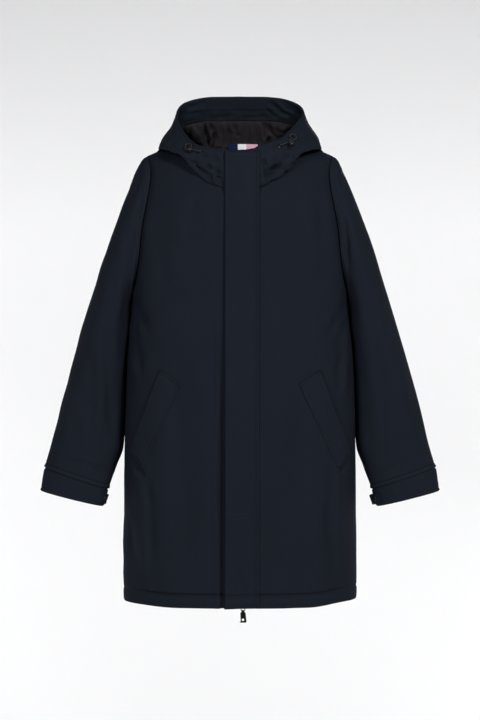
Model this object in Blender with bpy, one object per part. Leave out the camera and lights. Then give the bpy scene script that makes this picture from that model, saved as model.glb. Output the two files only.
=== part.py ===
"""A knee-length hooded parka, hollow as if it were worn, in its cut and sewn pieces.

Units are metres. +X is the wearer's left, -Y the front and +Z up. The origin is at the
base of the neck. Every cloth piece is a wall whose outer face is worked out from the
short tables below, and whose inner face lies one wall further in.
"""

import math

import bmesh
import bpy
import numpy as np
from mathutils import Matrix, Vector
from mathutils.bvhtree import BVHTree

# Driving dimensions
WALL = 0.003            # shell cloth with its thin wadding
THIN_WALL = 0.002       # facing
LINING_WALL = 0.0012
WELT_WALL = 0.0024
GAP = 0.0003            # clearance between neighbouring pieces
HEM_Z = -0.880
UNDERARM_Z = -0.270
ARM_FULL_Z = -0.185     # height where the armhole has its full depth
SIDE_Y = -0.015         # the side seams
ARM_FRONT_Y = -0.070    # front and back edges of the armhole
ARM_BACK_Y = 0.078
SQUARE = 2.5            # roundness of the body's section, 2 is an ellipse
FRONT_ROLL = 0.150      # height over which the chest rolls on to the shoulder
BACK_ROLL = 0.110
SHOULDER_X = 0.1850
NECK_X = 0.105          # side of the neckline, on the shoulder seam
NECK_SHARE = 0.6        # share of a panel's top edge that is neckline
FRONT, BACK = -1, 1
ZIP_X = 0.0057
ZIP_CLEAR = 0.0057      # from the zip's middle to each front edge
PLACKET_FREE_X = -0.030
PLACKET_SEWN_X = 0.038
PLACKET_TOP_Z = -0.0005
FACING_DEEP = 0.047
FRONT_EXTRA = 0.0042    # how much further in the hood's inner layers lie by the zip
CUFF_T = 0.915          # where along the sleeve the cuff starts

# Half width of the body, and how far its middle stands forward and back. Above the
# underarm the body goes on round as if it had no arms, and the armhole cuts it off.
TORSO = (
    ("z", "half", "front", "back"),
    (-0.880, 0.2310, -0.132, 0.138),
    (-0.740, 0.2308, -0.133, 0.137),
    (-0.600, 0.2300, -0.134, 0.135),
    (-0.500, 0.2278, -0.135, 0.133),
    (-0.400, 0.2232, -0.135, 0.130),
    (-0.350, 0.2195, -0.134, 0.129),
    (-0.300, 0.2145, -0.132, 0.127),
    (-0.270, 0.2125, -0.131, 0.126),
    (-0.200, 0.2130, -0.127, 0.123),
    (-0.144, 0.2100, -0.121, 0.120),
    (-0.096, 0.2050, -0.114, 0.118),
    (-0.060, 0.2020, -0.109, 0.116),
    (-0.030, 0.2015, -0.107, 0.115),
    (0.004, 0.2105, -0.105, 0.114),
    (0.046, 0.2130, -0.104, 0.113),
)
# The line of the shoulder, which inside the neckline is only a guide
RIDGE = (
    ("x", "z"),
    (0.0000, 0.0460),
    (0.0600, 0.0395),
    (0.1050, 0.0270),
    (0.1400, 0.0185),
    (0.1660, 0.0115),
    (0.1845, 0.0040),
    (0.2100, -0.0120),
)
# The neckline from the shoulder seam (0) to the middle (1)
NECK_FRONT = (
    ("p", "x", "z"),
    (0.00, 0.1050, 0.0270),
    (0.12, 0.1036, 0.0120),
    (0.28, 0.0990, -0.0060),
    (0.46, 0.0880, -0.0300),
    (0.64, 0.0700, -0.0530),
    (0.82, 0.0405, -0.0700),
    (1.00, 0.0000, -0.0760),
)
NECK_BACK = (
    ("p", "x", "z"),
    (0.00, 0.1050, 0.0270),
    (0.25, 0.0940, 0.0265),
    (0.50, 0.0700, 0.0230),
    (0.75, 0.0360, 0.0195),
    (1.00, 0.0000, 0.0180),
)
# Sleeve sections from the armhole (0) to the hem of the cuff (1)
SLEEVE = (
    ("t", "outer_x", "outer_z", "inner_x", "inner_z", "deep", "middle_y"),
    (0.00, 0.1850, 0.004, 0.2125, -0.270, 0.0740, 0.004),
    (0.05, 0.2010, -0.016, 0.2137, -0.277, 0.0760, 0.003),
    (0.12, 0.2160, -0.050, 0.2152, -0.290, 0.0790, 0.002),
    (0.22, 0.2385, -0.106, 0.2184, -0.315, 0.0810, 0.001),
    (0.34, 0.2660, -0.184, 0.2226, -0.352, 0.0800, 0.000),
    (0.46, 0.2960, -0.278, 0.2266, -0.398, 0.0760, -0.001),
    (0.58, 0.3230, -0.368, 0.2297, -0.440, 0.0680, -0.002),
    (0.70, 0.3490, -0.462, 0.2328, -0.510, 0.0550, -0.004),
    (0.84, 0.3745, -0.562, 0.2440, -0.606, 0.0400, -0.006),
    (0.92, 0.3880, -0.612, 0.2605, -0.655, 0.0320, -0.007),
    (1.00, 0.3970, -0.664, 0.2735, -0.695, 0.0270, -0.008),
)
SLEEVE_SQUARE = 2.15
ARMHOLE_FADE = 0.30     # share of the sleeve over which the armhole's shape fades
# Hood sections from the middle of the back (0) to the zip (1). The belly is the widest
# place of a section and the rim its top edge, which stands higher on the wearer's left.
HOOD = (
    ("phi", "belly_x", "belly_y", "belly_z", "rim_x", "rim_y", "rim_z", "lift", "sag"),
    (0.00, 0.000, 0.166, -0.023, 0.0000, 0.065, 0.132, 0.000, 0.016),
    (0.14, 0.095, 0.148, -0.014, 0.0780, 0.060, 0.129, 0.000, 0.014),
    (0.28, 0.154, 0.094, 0.014, 0.1220, 0.045, 0.111, 0.001, 0.006),
    (0.40, 0.172, 0.020, 0.032, 0.1295, 0.013, 0.082, 0.008, 0.003),
    (0.52, 0.166, -0.042, 0.029, 0.1210, -0.027, 0.056, 0.015, 0.002),
    (0.64, 0.137, -0.085, 0.009, 0.1040, -0.060, 0.030, 0.018, 0.002),
    (0.76, 0.097, -0.103, -0.020, 0.0810, -0.086, 0.011, 0.014, 0.000),
    (0.88, 0.052, -0.113, -0.036, 0.0460, -0.099, 0.002, 0.009, 0.000),
    (1.00, 0.000, -0.115, -0.040, 0.0000, -0.104, -0.001, 0.004, 0.000),
)
HOOD_HALF = 0.5         # phi of the shoulder seam
SOFTENING = 420         # rounds of averaging that round the hood's bends
HOOD_CLEAR = 0.0040     # least height of the hood above the body outside its seam
# How far the hood's lining keeps from the shell toward the straight line from the neck
# to the facing: 0 is against the shell and 1 is straight
LINING = (
    ("phi", "taut"),
    (0.00, 0.62),
    (0.20, 0.50),
    (0.40, 0.35),
    (0.60, 0.40),
    (0.80, 0.60),
    (1.00, 0.80),
)
# Deep folds and full lobes of the lining, by the place round the neck
LINING_FOLDS = (
    ("phi", "width", "depth"),
    (-0.335, 0.050, 0.22),
    (-0.205, 0.045, -0.30),
    (-0.100, 0.035, 0.14),
    (0.085, 0.040, 0.12),
    (0.205, 0.045, -0.30),
    (0.320, 0.050, 0.20),
)
# Largest creases of the hood's front, as lines seen from the front
HOOD_CREASES = (
    ("x0", "z0", "x1", "z1", "width", "depth"),
    (-0.100, -0.010, -0.040, -0.058, 0.0070, -0.0030),
    (-0.078, -0.014, -0.034, -0.036, 0.0065, -0.0026),
    (0.046, -0.040, 0.062, -0.062, 0.0065, -0.0032),
    (0.058, -0.050, 0.096, -0.008, 0.0075, -0.0032),
    (0.046, -0.006, 0.086, 0.000, 0.0080, 0.0024),
)
# A pocket's welt: its corners on the front panel, seen from the front
POCKET = (
    ("corner", "x", "z"),
    ("outer_top", 0.1550, -0.4225),
    ("inner_top", 0.1115, -0.4500),
    ("inner_bottom", 0.1880, -0.6150),
    ("outer_bottom", 0.2165, -0.5890),
)
# Drawcord ends, from the eyelet through the lock and round the loop: place seen from
# the front and height above the hood
CORD_RIGHT = (
    ("x", "z", "proud"),
    (-0.0770, -0.0026, 0.0013),
    (-0.0772, -0.0024, 0.0028),
    (-0.0785, -0.0018, 0.0046),
    (-0.0815, -0.0010, 0.0056),
    (-0.0855, -0.0004, 0.0060),
    (-0.0900, 0.0000, 0.0060),
    (-0.0960, 0.0003, 0.0060),
    (-0.1010, 0.0008, 0.0060),
    (-0.1042, 0.0028, 0.0060),
    (-0.1057, 0.0062, 0.0058),
    (-0.1048, 0.0102, 0.0056),
    (-0.1018, 0.0130, 0.0054),
    (-0.0980, 0.0138, 0.0054),
    (-0.0944, 0.0122, 0.0056),
    (-0.0930, 0.0090, 0.0058),
    (-0.0936, 0.0066, 0.0060),
)
CORD_LEFT = (
    ("x", "z", "proud"),
    (0.0780, 0.0106, 0.0013),
    (0.0783, 0.0107, 0.0028),
    (0.0796, 0.0112, 0.0046),
    (0.0824, 0.0122, 0.0057),
    (0.0862, 0.0136, 0.0062),
    (0.0900, 0.0150, 0.0064),
    (0.0970, 0.0176, 0.0064),
    (0.1030, 0.0200, 0.0064),
    (0.1064, 0.0226, 0.0062),
    (0.1076, 0.0262, 0.0060),
    (0.1062, 0.0300, 0.0058),
    (0.1028, 0.0322, 0.0058),
    (0.0988, 0.0318, 0.0060),
    (0.0962, 0.0290, 0.0062),
    (0.0962, 0.0262, 0.0064),
)
CORD_THICK = 0.0020
LOCK_POINT = 6          # the cord's point in the middle of its lock
LOCK_RADIUS = 0.0047
LOCK_LONG = 0.0125
LOCK_BORE = 0.0014
LOCK_ABOVE = 0.0014     # gap between a standing lock and the hood
LOCK_DOWN = 0.0030      # how far below its cord's bore an upright lock's middle is
EYELET_LIFT = 0.0010
EYELET_RING = 0.0036
EYELET_WIRE = 0.0011

# Hanger loop inside the back of the neck
LOOP_LEFT_X = 0.0368
LOOP_RIGHT_X = -0.0246
LOOP_LOW_Z = 0.0245
LOOP_HIGH_Z = 0.0360
LOOP_WALL = 0.0014
LOOP_SEAT_Y = 0.0674    # where its ends are sewn, at the middle of the back
LOOP_BOW = 0.0085
NECK_ROUND = 0.60       # a larger value bends the seat less

# Zip, sliders and pull tab
CHAIN_HALF = 0.0026
CHAIN_PROUD = 0.0018
TAPE_HALF = 0.0125
TAPE_WALL = 0.0009
SLIDER_WIDE = 0.0088
SLIDER_DEEP = 0.0046
SLIDER_TALL = 0.0125
CHAIN_END_Z = HEM_Z + 0.0130
CHAIN_TOP_Z = -0.0190
WIRE = 0.0008           # radius of the slider's bail
BAIL_HALF = 0.0036
HINGE_DROP = 0.0046     # from the hem down to the pull tab's axis
PULL_TOP_HALF = 0.0050
PULL_LOW_HALF = 0.0067
PULL_LONG = 0.0225
PULL_HALF_THICK = 0.0007
EYE_RADIUS = 0.0019
EYE_BORE = 0.0012
EYE_HALF = 0.0023

# Colours, linear, with roughness and metallic value
FINISHES = {
    "shell": ((0.0116, 0.0137, 0.0185), 0.72, 0.0),
    "lining": ((0.0103, 0.0095, 0.0110), 0.55, 0.0),
    "ribbon": ((0.30, 0.34, 0.52), 0.60, 0.0),
    "zip_tape": ((0.010, 0.011, 0.014), 0.80, 0.0),
    "metal": ((0.060, 0.060, 0.062), 0.35, 1.0),
    "plastic": ((0.010, 0.010, 0.011), 0.40, 0.0),
    "cord": ((0.012, 0.013, 0.016), 0.75, 0.0),
}


def new_collection(name):
    collection = bpy.data.collections.new(name)
    bpy.context.scene.collection.children.link(collection)
    return collection


def finish(obj, name):
    """Gives an object its own material."""
    colour, roughness, metallic = FINISHES[name]
    material = bpy.data.materials.new(obj.name + "_" + name)
    material.use_nodes = True
    shader = material.node_tree.nodes["Principled BSDF"]
    shader.inputs["Base Color"].default_value = (*colour, 1.0)
    shader.inputs["Roughness"].default_value = roughness
    shader.inputs["Metallic"].default_value = metallic
    obj.data.materials.clear()
    obj.data.materials.append(material)
    return obj


# Tables and curves

def column(table, name):
    place = table[0].index(name)
    return np.array([row[place] for row in table[1:]])


def smooth(table, name, at):
    """A soft curve through a table's column, read at values of its first column."""
    xs = column(table, table[0][0])
    ys = column(table, name)
    slopes = np.gradient(ys, xs)
    at = np.clip(at, xs[0], xs[-1])
    i = np.clip(np.searchsorted(xs, at, side="right") - 1, 0, len(xs) - 2)
    span = xs[i + 1] - xs[i]
    t = (at - xs[i]) / span
    start = ys[i] * (1 + 2 * t) * (1 - t) ** 2 + slopes[i] * span * t * (1 - t) ** 2
    end = ys[i + 1] * t * t * (3 - 2 * t) + slopes[i + 1] * span * t * t * (t - 1)
    return start + end


def ease(t):
    t = np.clip(t, 0.0, 1.0)
    return t * t * (3 - 2 * t)


def unit(vectors):
    size = np.linalg.norm(vectors, axis=-1, keepdims=True)
    return vectors / np.maximum(size, 1e-12)


def tangents(points, axis):
    """Directions of a grid's lines at its points, halfway between the two next steps."""
    steps = unit(np.diff(points, axis=axis))
    first = np.take(steps, [0], axis=axis)
    last = np.take(steps, [-1], axis=axis)
    before = np.concatenate([first, steps], axis=axis)
    after = np.concatenate([steps, last], axis=axis)
    return unit(before + after)


def normals_of(points, outward):
    """Normals of a grid of points, all turned to the side of most outward vectors."""
    n = unit(np.cross(tangents(points, 1), tangents(points, 0)))
    return n * np.sign(np.sum(n * outward))


def creases(points, table):
    """Height that soft creases, given as lines seen from the front, add to points."""
    x = points[..., 0]
    z = points[..., 2]
    total = np.zeros(x.shape)
    for x0, z0, x1, z1, width, depth in table[1:]:
        long = math.hypot(x1 - x0, z1 - z0)
        along = ((x - x0) * (x1 - x0) + (z - z0) * (z1 - z0)) / long**2
        across = ((x - x0) * (z1 - z0) - (z - z0) * (x1 - x0)) / long
        ends = ease(along * 4 + 0.6) * ease((1 - along) * 4 + 0.6)
        total += depth * np.exp(-((across / width) ** 2)) * ends
    return total


# The body

def ridge_z(x):
    return smooth(RIDGE, "z", np.abs(x))


def armhole_rise(z):
    """0 at the underarm and below it, and 1 where the armhole has its full depth."""
    low = np.clip((ARM_FULL_Z - z) / (ARM_FULL_Z - UNDERARM_Z), 0.0, 1.0)
    return np.sqrt(1 - low**2)


def depth_column(facing):
    return "front" if facing == FRONT else "back"


def edge_share(z, facing):
    """Share of the half width where a panel ends, at the armhole or the side seam."""
    arm_y = ARM_FRONT_Y if facing == FRONT else ARM_BACK_Y
    middle = smooth(TORSO, depth_column(facing), z)
    corner = armhole_rise(z) * (arm_y - SIDE_Y) / (middle - SIDE_Y)
    return (1 - corner**SQUARE) ** (1 / SQUARE)


def torso(u, z, facing):
    """The body's surface at a share u of its half width, on its front or its back."""
    middle = smooth(TORSO, depth_column(facing), z)
    x = u * smooth(TORSO, "half", z)
    corner = np.maximum(1 - np.abs(u) ** SQUARE, 0.0) ** (1 / SQUARE)
    full = SIDE_Y + (middle - SIDE_Y) * corner
    roll = FRONT_ROLL if facing == FRONT else BACK_ROLL
    fall = np.clip((ridge_z(x) - z) / roll, 0.0, 1.0)
    y = full * np.sqrt(1 - (1 - fall) ** 2)
    return np.stack([x, y, z + 0 * x], axis=-1)


def body_top(x, y):
    """Height of the body's surface under a place, near the neck and the shoulders."""
    size = np.abs(x)
    roll = np.where(y < 0, FRONT_ROLL, BACK_ROLL)
    z = ridge_z(size) - roll * 0.2
    for _ in range(6):
        u = np.clip(size / smooth(TORSO, "half", z), 0.0, 1.0)
        corner = (1 - u**SQUARE) ** (1 / SQUARE)
        middle = np.where(y < 0, smooth(TORSO, "front", z), smooth(TORSO, "back", z))
        full = SIDE_Y + (middle - SIDE_Y) * corner
        share = np.clip(y / full, 0.0, 1.0)
        z = ridge_z(size) - roll * (1 - np.sqrt(1 - share**2))
    return z


def body_normals(points):
    """Upward normals of the body near the neck, by small steps from each point."""
    step = 0.0005
    x, y = points[..., 0], points[..., 1]
    down_x = (body_top(x + step, y) - body_top(x - step, y)) / (2 * step)
    down_y = (body_top(x, y + step) - body_top(x, y - step)) / (2 * step)
    return unit(np.stack([-down_x, -down_y, np.ones(x.shape)], axis=-1))


def neck_end(edge_x):
    """Where along the front neckline its x is edge_x; 1 is the middle."""
    p = np.linspace(0.7, 1.0, 301)
    return float(np.interp(-edge_x, -smooth(NECK_FRONT, "x", p), p))


def panel_top(s, facing, edge_x):
    """The top edge of half a panel, from the middle (0) to the shoulder's end (1)."""
    neck = NECK_FRONT if facing == FRONT else NECK_BACK
    p = np.clip(1 - s / NECK_SHARE, 0.0, 1.0) * neck_end(edge_x)
    neck_x = smooth(neck, "x", p)
    shoulder = np.clip((s - NECK_SHARE) / (1 - NECK_SHARE), 0.0, 1.0)
    shoulder_x = NECK_X + (SHOULDER_X - NECK_X) * shoulder
    on_neck = s < NECK_SHARE - 1e-6
    x = np.where(on_neck, neck_x, shoulder_x)
    z = np.where(on_neck, smooth(neck, "z", p), ridge_z(shoulder_x))
    return x, z


def half_panel(facing, side, shares, low_rows, rolls, edge_x=0.0):
    """Outer points of half a front or back, hem first, from its middle to its side.

    low_rows are heights up to where the armhole is at its full depth. rolls are the
    angles, 90 to 0 degrees, of the rows from there to the top edge.
    """
    s = np.asarray(shares)
    top_x, top_z = panel_top(s, facing, edge_x)
    spread = 1 - (1 - s) ** 1.25
    top_u = top_x / smooth(TORSO, "half", top_z)
    rows = []
    for z in low_rows:
        start = edge_x / smooth(TORSO, "half", z)
        u = start + (edge_share(z, facing) - start) * spread
        rows.append(torso(u, np.full(len(s), z), facing))
    for roll in rolls[1:]:
        drop = 1 - math.cos(math.radians(roll))
        z = top_z - (top_z - ARM_FULL_Z) * drop
        share = ease((z - ARM_FULL_Z) / (top_z - ARM_FULL_Z)) ** 2
        start = edge_x / smooth(TORSO, "half", z)
        low_u = start + (edge_share(z, facing) - start) * spread
        u = low_u + (top_u - low_u) * share
        rows.append(torso(u, z, facing))
    points = np.array(rows)
    points[..., 0] *= side
    return points


def seam_directions(points, facing, side, low_count, shares, is_half):
    """Inward unit vectors for the wall of half a panel, shared with what it joins."""
    outward = points * (1, 1, 0) - (0, SIDE_Y, 0)
    inward = -normals_of(points, outward)
    arm = np.array([0.0, (ARM_FRONT_Y + ARM_BACK_Y) / 2, (UNDERARM_Z + 0.004) / 2])
    armhole = slice(low_count, None)
    below = points[:, -1, 2] < UNDERARM_Z - 1e-6
    toward = unit((arm - points[:, -1]) * (0, 1, 1))
    inward[armhole, -1] = toward[armhole]
    inward[below, -1] = (-side, 0, 0)
    neck = np.asarray(shares) < NECK_SHARE - 1e-6
    inward[-1, neck] = neck_directions(points[-1, neck])
    inward[-1, ~neck] = (0, 0, -1)
    corner = int(np.argmax(~neck))
    inward[-1, corner] = unit(np.array([-side * 1.0, 0, -1.0]))
    inward[low_count, -1] = unit(np.array([-side * 1.0, 0, 1.0]))
    if is_half:
        inward[:, 0] = (0, -facing, 0)
    else:
        inward[:, 0] = unit(inward[:, 0] * (0, 1, 1))
    return inward


def neck_directions(points):
    """Level unit vectors from the neckline to the middle of the neck."""
    return unit((points - (0, -0.012, 0)) * (-1, -1, 0))


# Walls

def wall(name, outer, inner, closed=False):
    """A mesh object between two grids of points of the same size."""
    rows, columns = outer.shape[:2]
    bm = bmesh.new()
    bmesh.ops.create_grid(bm, x_segments=columns - 1, y_segments=rows - 1, size=1)
    place = bm.verts.layers.int.new("place")
    flat_outer = outer.reshape(-1, 3)
    flat_inner = inner.reshape(-1, 3)
    for i, vert in enumerate(bm.verts):
        vert[place] = i
        vert.co = flat_outer[i]
    if closed:
        bmesh.ops.remove_doubles(bm, verts=bm.verts[:], dist=1e-6)
    bmesh.ops.triangulate(bm, faces=bm.faces[:], quad_method="FIXED")
    made = bmesh.ops.extrude_face_region(bm, geom=bm.faces[:])
    for item in made["geom"]:
        if isinstance(item, bmesh.types.BMVert):
            item.co = flat_inner[item[place]]
    bmesh.ops.triangulate(bm, faces=bm.faces[:], quad_method="FIXED")
    bmesh.ops.recalc_face_normals(bm, faces=bm.faces[:])
    bm.verts.layers.int.remove(place)
    return add_mesh(name, bm)


def add_mesh(name, bm):
    mesh = bpy.data.meshes.new(name)
    bm.to_mesh(mesh)
    bm.free()
    mesh.shade_smooth()
    mesh.set_sharp_from_angle(angle=math.radians(50))
    obj = bpy.data.objects.new(name, mesh)
    PARTS.objects.link(obj)
    return obj


# Places of the columns along half the neckline, from its middle (1) to the shoulder (0)
NECK_PLACES = (1.0, 0.86, 0.72, 0.58, 0.45, 0.33, 0.23, 0.14, 0.075, 0.03, 0.0)
PANEL_SHARES = tuple(NECK_SHARE * (1 - p) for p in NECK_PLACES) + (
    0.69, 0.79, 0.89, 0.96, 1.0)
LOW_HEIGHTS = (-0.880, -0.868, -0.780, -0.680, -0.580, -0.490, -0.410, -0.345, -0.300)
ARM_ANGLES = (0, 24, 46, 68, 90)
ROLL_ANGLES = (90, 75, 60, 46, 33, 20, 9, 0)


def row_heights():
    """Heights of a panel's rows up to the armhole's full depth, closer at its foot."""
    deep = ARM_FULL_Z - UNDERARM_Z
    arm = [ARM_FULL_Z - deep * math.cos(math.radians(a)) for a in ARM_ANGLES]
    return list(LOW_HEIGHTS) + arm


def make_fronts():
    edges = {}
    for side, name in ((-1, "front_right"), (1, "front_left")):
        edge_x = 0.0 if side < 0 else ZIP_X + ZIP_CLEAR
        outer = half_panel(FRONT, side, PANEL_SHARES, row_heights(), ROLL_ANGLES, edge_x)
        inward = seam_directions(outer, FRONT, side, len(LOW_HEIGHTS), PANEL_SHARES, True)
        shift = np.array([0, -GAP / 2, 0])
        finish(wall(name, outer + shift, outer + inward * WALL + shift), "shell")
        edges[side] = outer[len(LOW_HEIGHTS):, -1]
    return edges


def make_back():
    edges = {}
    halves = {}
    for side in (-1, 1):
        outer = half_panel(BACK, side, PANEL_SHARES, row_heights(), ROLL_ANGLES)
        inward = seam_directions(outer, BACK, side, len(LOW_HEIGHTS), PANEL_SHARES, False)
        halves[side] = (outer, outer + inward * WALL)
        edges[side] = outer[len(LOW_HEIGHTS):, -1]
    shift = np.array([0, GAP / 2, 0])
    outer, inner = (
        np.concatenate([halves[-1][k][:, ::-1], halves[1][k][:, 1:]], axis=1) + shift
        for k in (0, 1)
    )
    finish(wall("back", outer, inner), "shell")
    return edges


# Sleeves and cuffs

def armhole_ring(front_edge, back_edge):
    """The armhole from the shoulder down its front and up its back, and round again."""
    return np.concatenate([front_edge[::-1], back_edge[1:]])


def section(angles, t, side):
    """Sleeve sections with the armhole's own shape left out; rows are t."""
    t = np.asarray(t, dtype=float)[:, None]
    outer = np.stack([smooth(SLEEVE, "outer_x", t), smooth(SLEEVE, "outer_z", t)], axis=-1)
    inner = np.stack([smooth(SLEEVE, "inner_x", t), smooth(SLEEVE, "inner_z", t)], axis=-1)
    power = 2 / SLEEVE_SQUARE
    across = np.sign(np.cos(angles)) * np.abs(np.cos(angles)) ** power
    deep = np.sign(np.sin(angles)) * np.abs(np.sin(angles)) ** power
    plane = (outer + inner) / 2 + (outer - inner) / 2 * across[None, :, None]
    y = smooth(SLEEVE, "middle_y", t) + smooth(SLEEVE, "deep", t) * deep[None, :]
    return np.stack([plane[..., 0] * side, y, plane[..., 1]], axis=-1)


def sleeve_points(ring, t, side):
    """Outer points of a sleeve that starts on the armhole; rows are t."""
    top = ring[0]
    under = ring[len(ring) // 2]
    half = (top - under) / 2
    middle = (top + under) / 2
    across = ((ring - middle) @ half) / (half @ half)
    deep = (ring[:, 1] - 0.004) / 0.074
    angles = np.arctan2(deep, across)
    start = section(angles, [0.0], side)
    fade = np.clip(1 - np.asarray(t) / ARMHOLE_FADE, 0, 1)[:, None, None] ** 2
    return section(angles, t, side) + (ring[None] - start) * fade


def ring_inward(points):
    """Inward unit vectors of a closed tube of points."""
    middle = points[:, :-1].mean(axis=1, keepdims=True)
    wrapped = np.concatenate([points[:, -2:-1], points, points[:, 1:2]], axis=1)
    return -normals_of(wrapped, wrapped - middle)[:, 1:-1]


SLEEVE_ROWS = (0, 0.03, 0.07, 0.12, 0.18, 0.25, 0.33, 0.42, 0.52, 0.62, 0.73, 0.84, CUFF_T)
CUFF_ROWS = (0.0, 0.5, 1.0)
CUFF_PROUD = 0.0012


def cuff_points(ring, rows, side, proud=CUFF_PROUD):
    """Outer points of the cuff, which stands a little proud of the sleeve."""
    start = CUFF_T + 0.001
    t = start + (1 - start) * np.asarray(rows)
    points = sleeve_points(ring, t, side)
    return points - ring_inward(points) * proud


def make_sleeve(ring, side, name):
    arm = np.array([side * 0.19, 0.004, (UNDERARM_Z + 0.004) / 2])
    outer = sleeve_points(ring, SLEEVE_ROWS, side)
    inward = ring_inward(outer)
    inward[0] = unit((arm - outer[0]) * (0, 1, 1))
    away = np.array([side * GAP, 0, 0])
    outer[0] += away
    outer[1] += away
    finish(wall("sleeve_" + name, outer, outer + inward * WALL, closed=True), "shell")
    cuff = cuff_points(ring, CUFF_ROWS, side)
    cuff_in = cuff + ring_inward(cuff) * (WALL + CUFF_PROUD)
    finish(wall("cuff_" + name, cuff, cuff_in, closed=True), "shell")


TAB_LOW, TAB_HIGH = 0.42, 0.88      # the tab's place down the cuff
TAB_FRONT, TAB_BACK = 0.55, -0.80   # its ends, in radians from the cuff's inner edge
TAB_WALL = 0.0018
SNAP_ANGLE = 0.33
SNAP_RADIUS = 0.0046
SNAP_TALL = 0.0024


def cuff_surface(angles, rows, side):
    """Points and outward vectors on the cuff at angles from its inner edge to its front."""
    start = CUFF_T + 0.001
    t = start + (1 - start) * np.asarray(rows, dtype=float)
    turn = -math.pi + np.asarray(angles)
    points = section(turn, t, side)
    middle = section(np.array([0.0, math.pi]), t, side).mean(axis=1, keepdims=True)
    return points, normals_of(points, points - middle)


def make_tab(side, name, stand):
    """A strap round the cuff's inner edge, sewn at the back and snapped at the front."""
    angles = np.linspace(TAB_BACK, TAB_FRONT, 10)
    rows = np.linspace(TAB_LOW, TAB_HIGH, 3)
    base, lift = cuff_surface(angles, rows, side)
    bow = stand * np.exp(-((angles + 0.05) / 0.22) ** 2)[None, :, None]
    low = base + lift * (CUFF_PROUD + GAP + 0.0002 + bow)
    high = base + lift * (CUFF_PROUD + GAP + 0.0002 + TAB_WALL + bow)
    finish(wall("cuff_tab_" + name, high, low), "shell")
    spot, out = cuff_surface([SNAP_ANGLE, SNAP_ANGLE + 0.02], [0.62, 0.68], side)
    height = CUFF_PROUD + 2 * GAP + 0.0002 + TAB_WALL + SNAP_TALL / 2 + 0.0003
    snap = round_cap("cuff_snap_" + name, SNAP_RADIUS, SNAP_TALL)
    place(snap, spot[0, 0] + out[0, 0] * height, out[0, 0])
    finish(snap, "metal")


def round_cap(name, radius, tall):
    """A button with a domed face, on +Z."""
    bm = bmesh.new()
    bmesh.ops.create_cone(bm, cap_ends=True, segments=14, radius1=radius,
                          radius2=radius * 0.72, depth=tall)
    return add_mesh(name, bm)


def place(obj, point, out, twist=0.0):
    """Moves an object's mesh so that its +Z points out of a surface at a point."""
    turn = Vector(out).to_track_quat("Z", "Y").to_matrix().to_4x4()
    obj.matrix_world = Matrix.Translation(Vector(point)) @ turn @ Matrix.Rotation(twist, 4, "Z")


# The hood

def neck_seam(phi):
    """The neckline seam at places from the middle of the back (0) to the zip (1)."""
    size = np.abs(phi)
    front = size >= HOOD_HALF
    ahead = np.clip((size - HOOD_HALF) / (1 - HOOD_HALF), 0, 1)
    behind = np.clip((HOOD_HALF - size) / HOOD_HALF, 0, 1)
    x = np.where(front, smooth(NECK_FRONT, "x", ahead), smooth(NECK_BACK, "x", behind))
    z = np.where(front, smooth(NECK_FRONT, "z", ahead), smooth(NECK_BACK, "z", behind))
    u = x / smooth(TORSO, "half", z)
    y = np.where(front, torso(u, z, FRONT)[..., 1], torso(u, z, BACK)[..., 1])
    return np.stack([x * np.sign(phi + 1e-12), y, z], axis=-1)


def hood_paths(phi, count=60):
    """Each hood section as a fine line of points from the seam to the rim."""
    size = np.abs(phi)
    sign = np.where(phi < 0, -1.0, 1.0)
    seam = neck_seam(phi)
    belly = np.stack([smooth(HOOD, "belly_" + k, size) for k in "xyz"], axis=-1)
    rim = np.stack([smooth(HOOD, "rim_" + k, size) for k in "xyz"], axis=-1)
    belly[:, 0] *= sign
    rim[:, 0] *= sign
    rim[:, 2] += np.where(phi > 0, smooth(HOOD, "lift", size), 0.0)
    sag = smooth(HOOD, "sag", size)
    low = np.linspace(0, 1, count)[:, None]
    angle = low * math.pi / 2
    across = np.sin(angle)[..., None]
    under = seam + (belly - seam) * across
    rise = (belly - seam)[:, 2] * (1 - np.cos(angle)) - sag * np.sin(2 * angle)
    under[..., 2] = seam[:, 2] + rise
    lean = ease(low)[..., None]
    over = belly + (rim - belly) * lean
    over[..., 2] = belly[:, 2] + (rim - belly)[:, 2] * low
    paths = np.concatenate([under, over[1:]])
    steps = np.linalg.norm(np.diff(paths, axis=0), axis=-1)
    length = np.concatenate([np.zeros((1, len(phi))), np.cumsum(steps, axis=0)])
    for j in range(len(phi)):
        even = np.linspace(0, length[-1, j], len(paths))
        for axis in range(3):
            paths[:, j, axis] = np.interp(even, length[:, j], paths[:, j, axis])
    for _ in range(SOFTENING):
        paths[1:-1] = (paths[:-2] + 2 * paths[1:-1] + paths[2:]) / 4
    away = np.linalg.norm(paths - seam, axis=-1)
    floor = body_top(paths[..., 0], paths[..., 1]) + HOOD_CLEAR * ease(away / 0.010)
    floor -= 0.06 * (1 - ease((paths[..., 1] + 0.092) / 0.020))
    paths[..., 2] = np.maximum(paths[..., 2], floor)
    return paths


def hood_points(phi, low_shares, facing_shares=(1.0,)):
    """Outer points of the hood: rows up to the facing's lower edge, then to the rim."""
    paths = hood_paths(phi)
    steps = np.linalg.norm(np.diff(paths, axis=0), axis=-1)
    length = np.concatenate([np.zeros((1, len(phi))), np.cumsum(steps, axis=0)])
    edge = length[-1] - FACING_DEEP
    wanted = [edge * share for share in low_shares]
    wanted += [edge + FACING_DEEP * share for share in facing_shares]
    points = np.zeros((len(wanted), len(phi), 3))
    for row, places in enumerate(wanted):
        for j, at in enumerate(places):
            points[row, j] = [np.interp(at, length[:, j], paths[:, j, k]) for k in range(3)]
    return points


def hood_outward(points):
    return points * (1, 1, 0) - (0, -0.010, 0)


HOOD_LOW = (0, 0.13, 0.28, 0.43, 0.58, 0.72, 0.86)
HOOD_HIGH = (0.0, 0.22, 0.5, 1.0)


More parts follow.
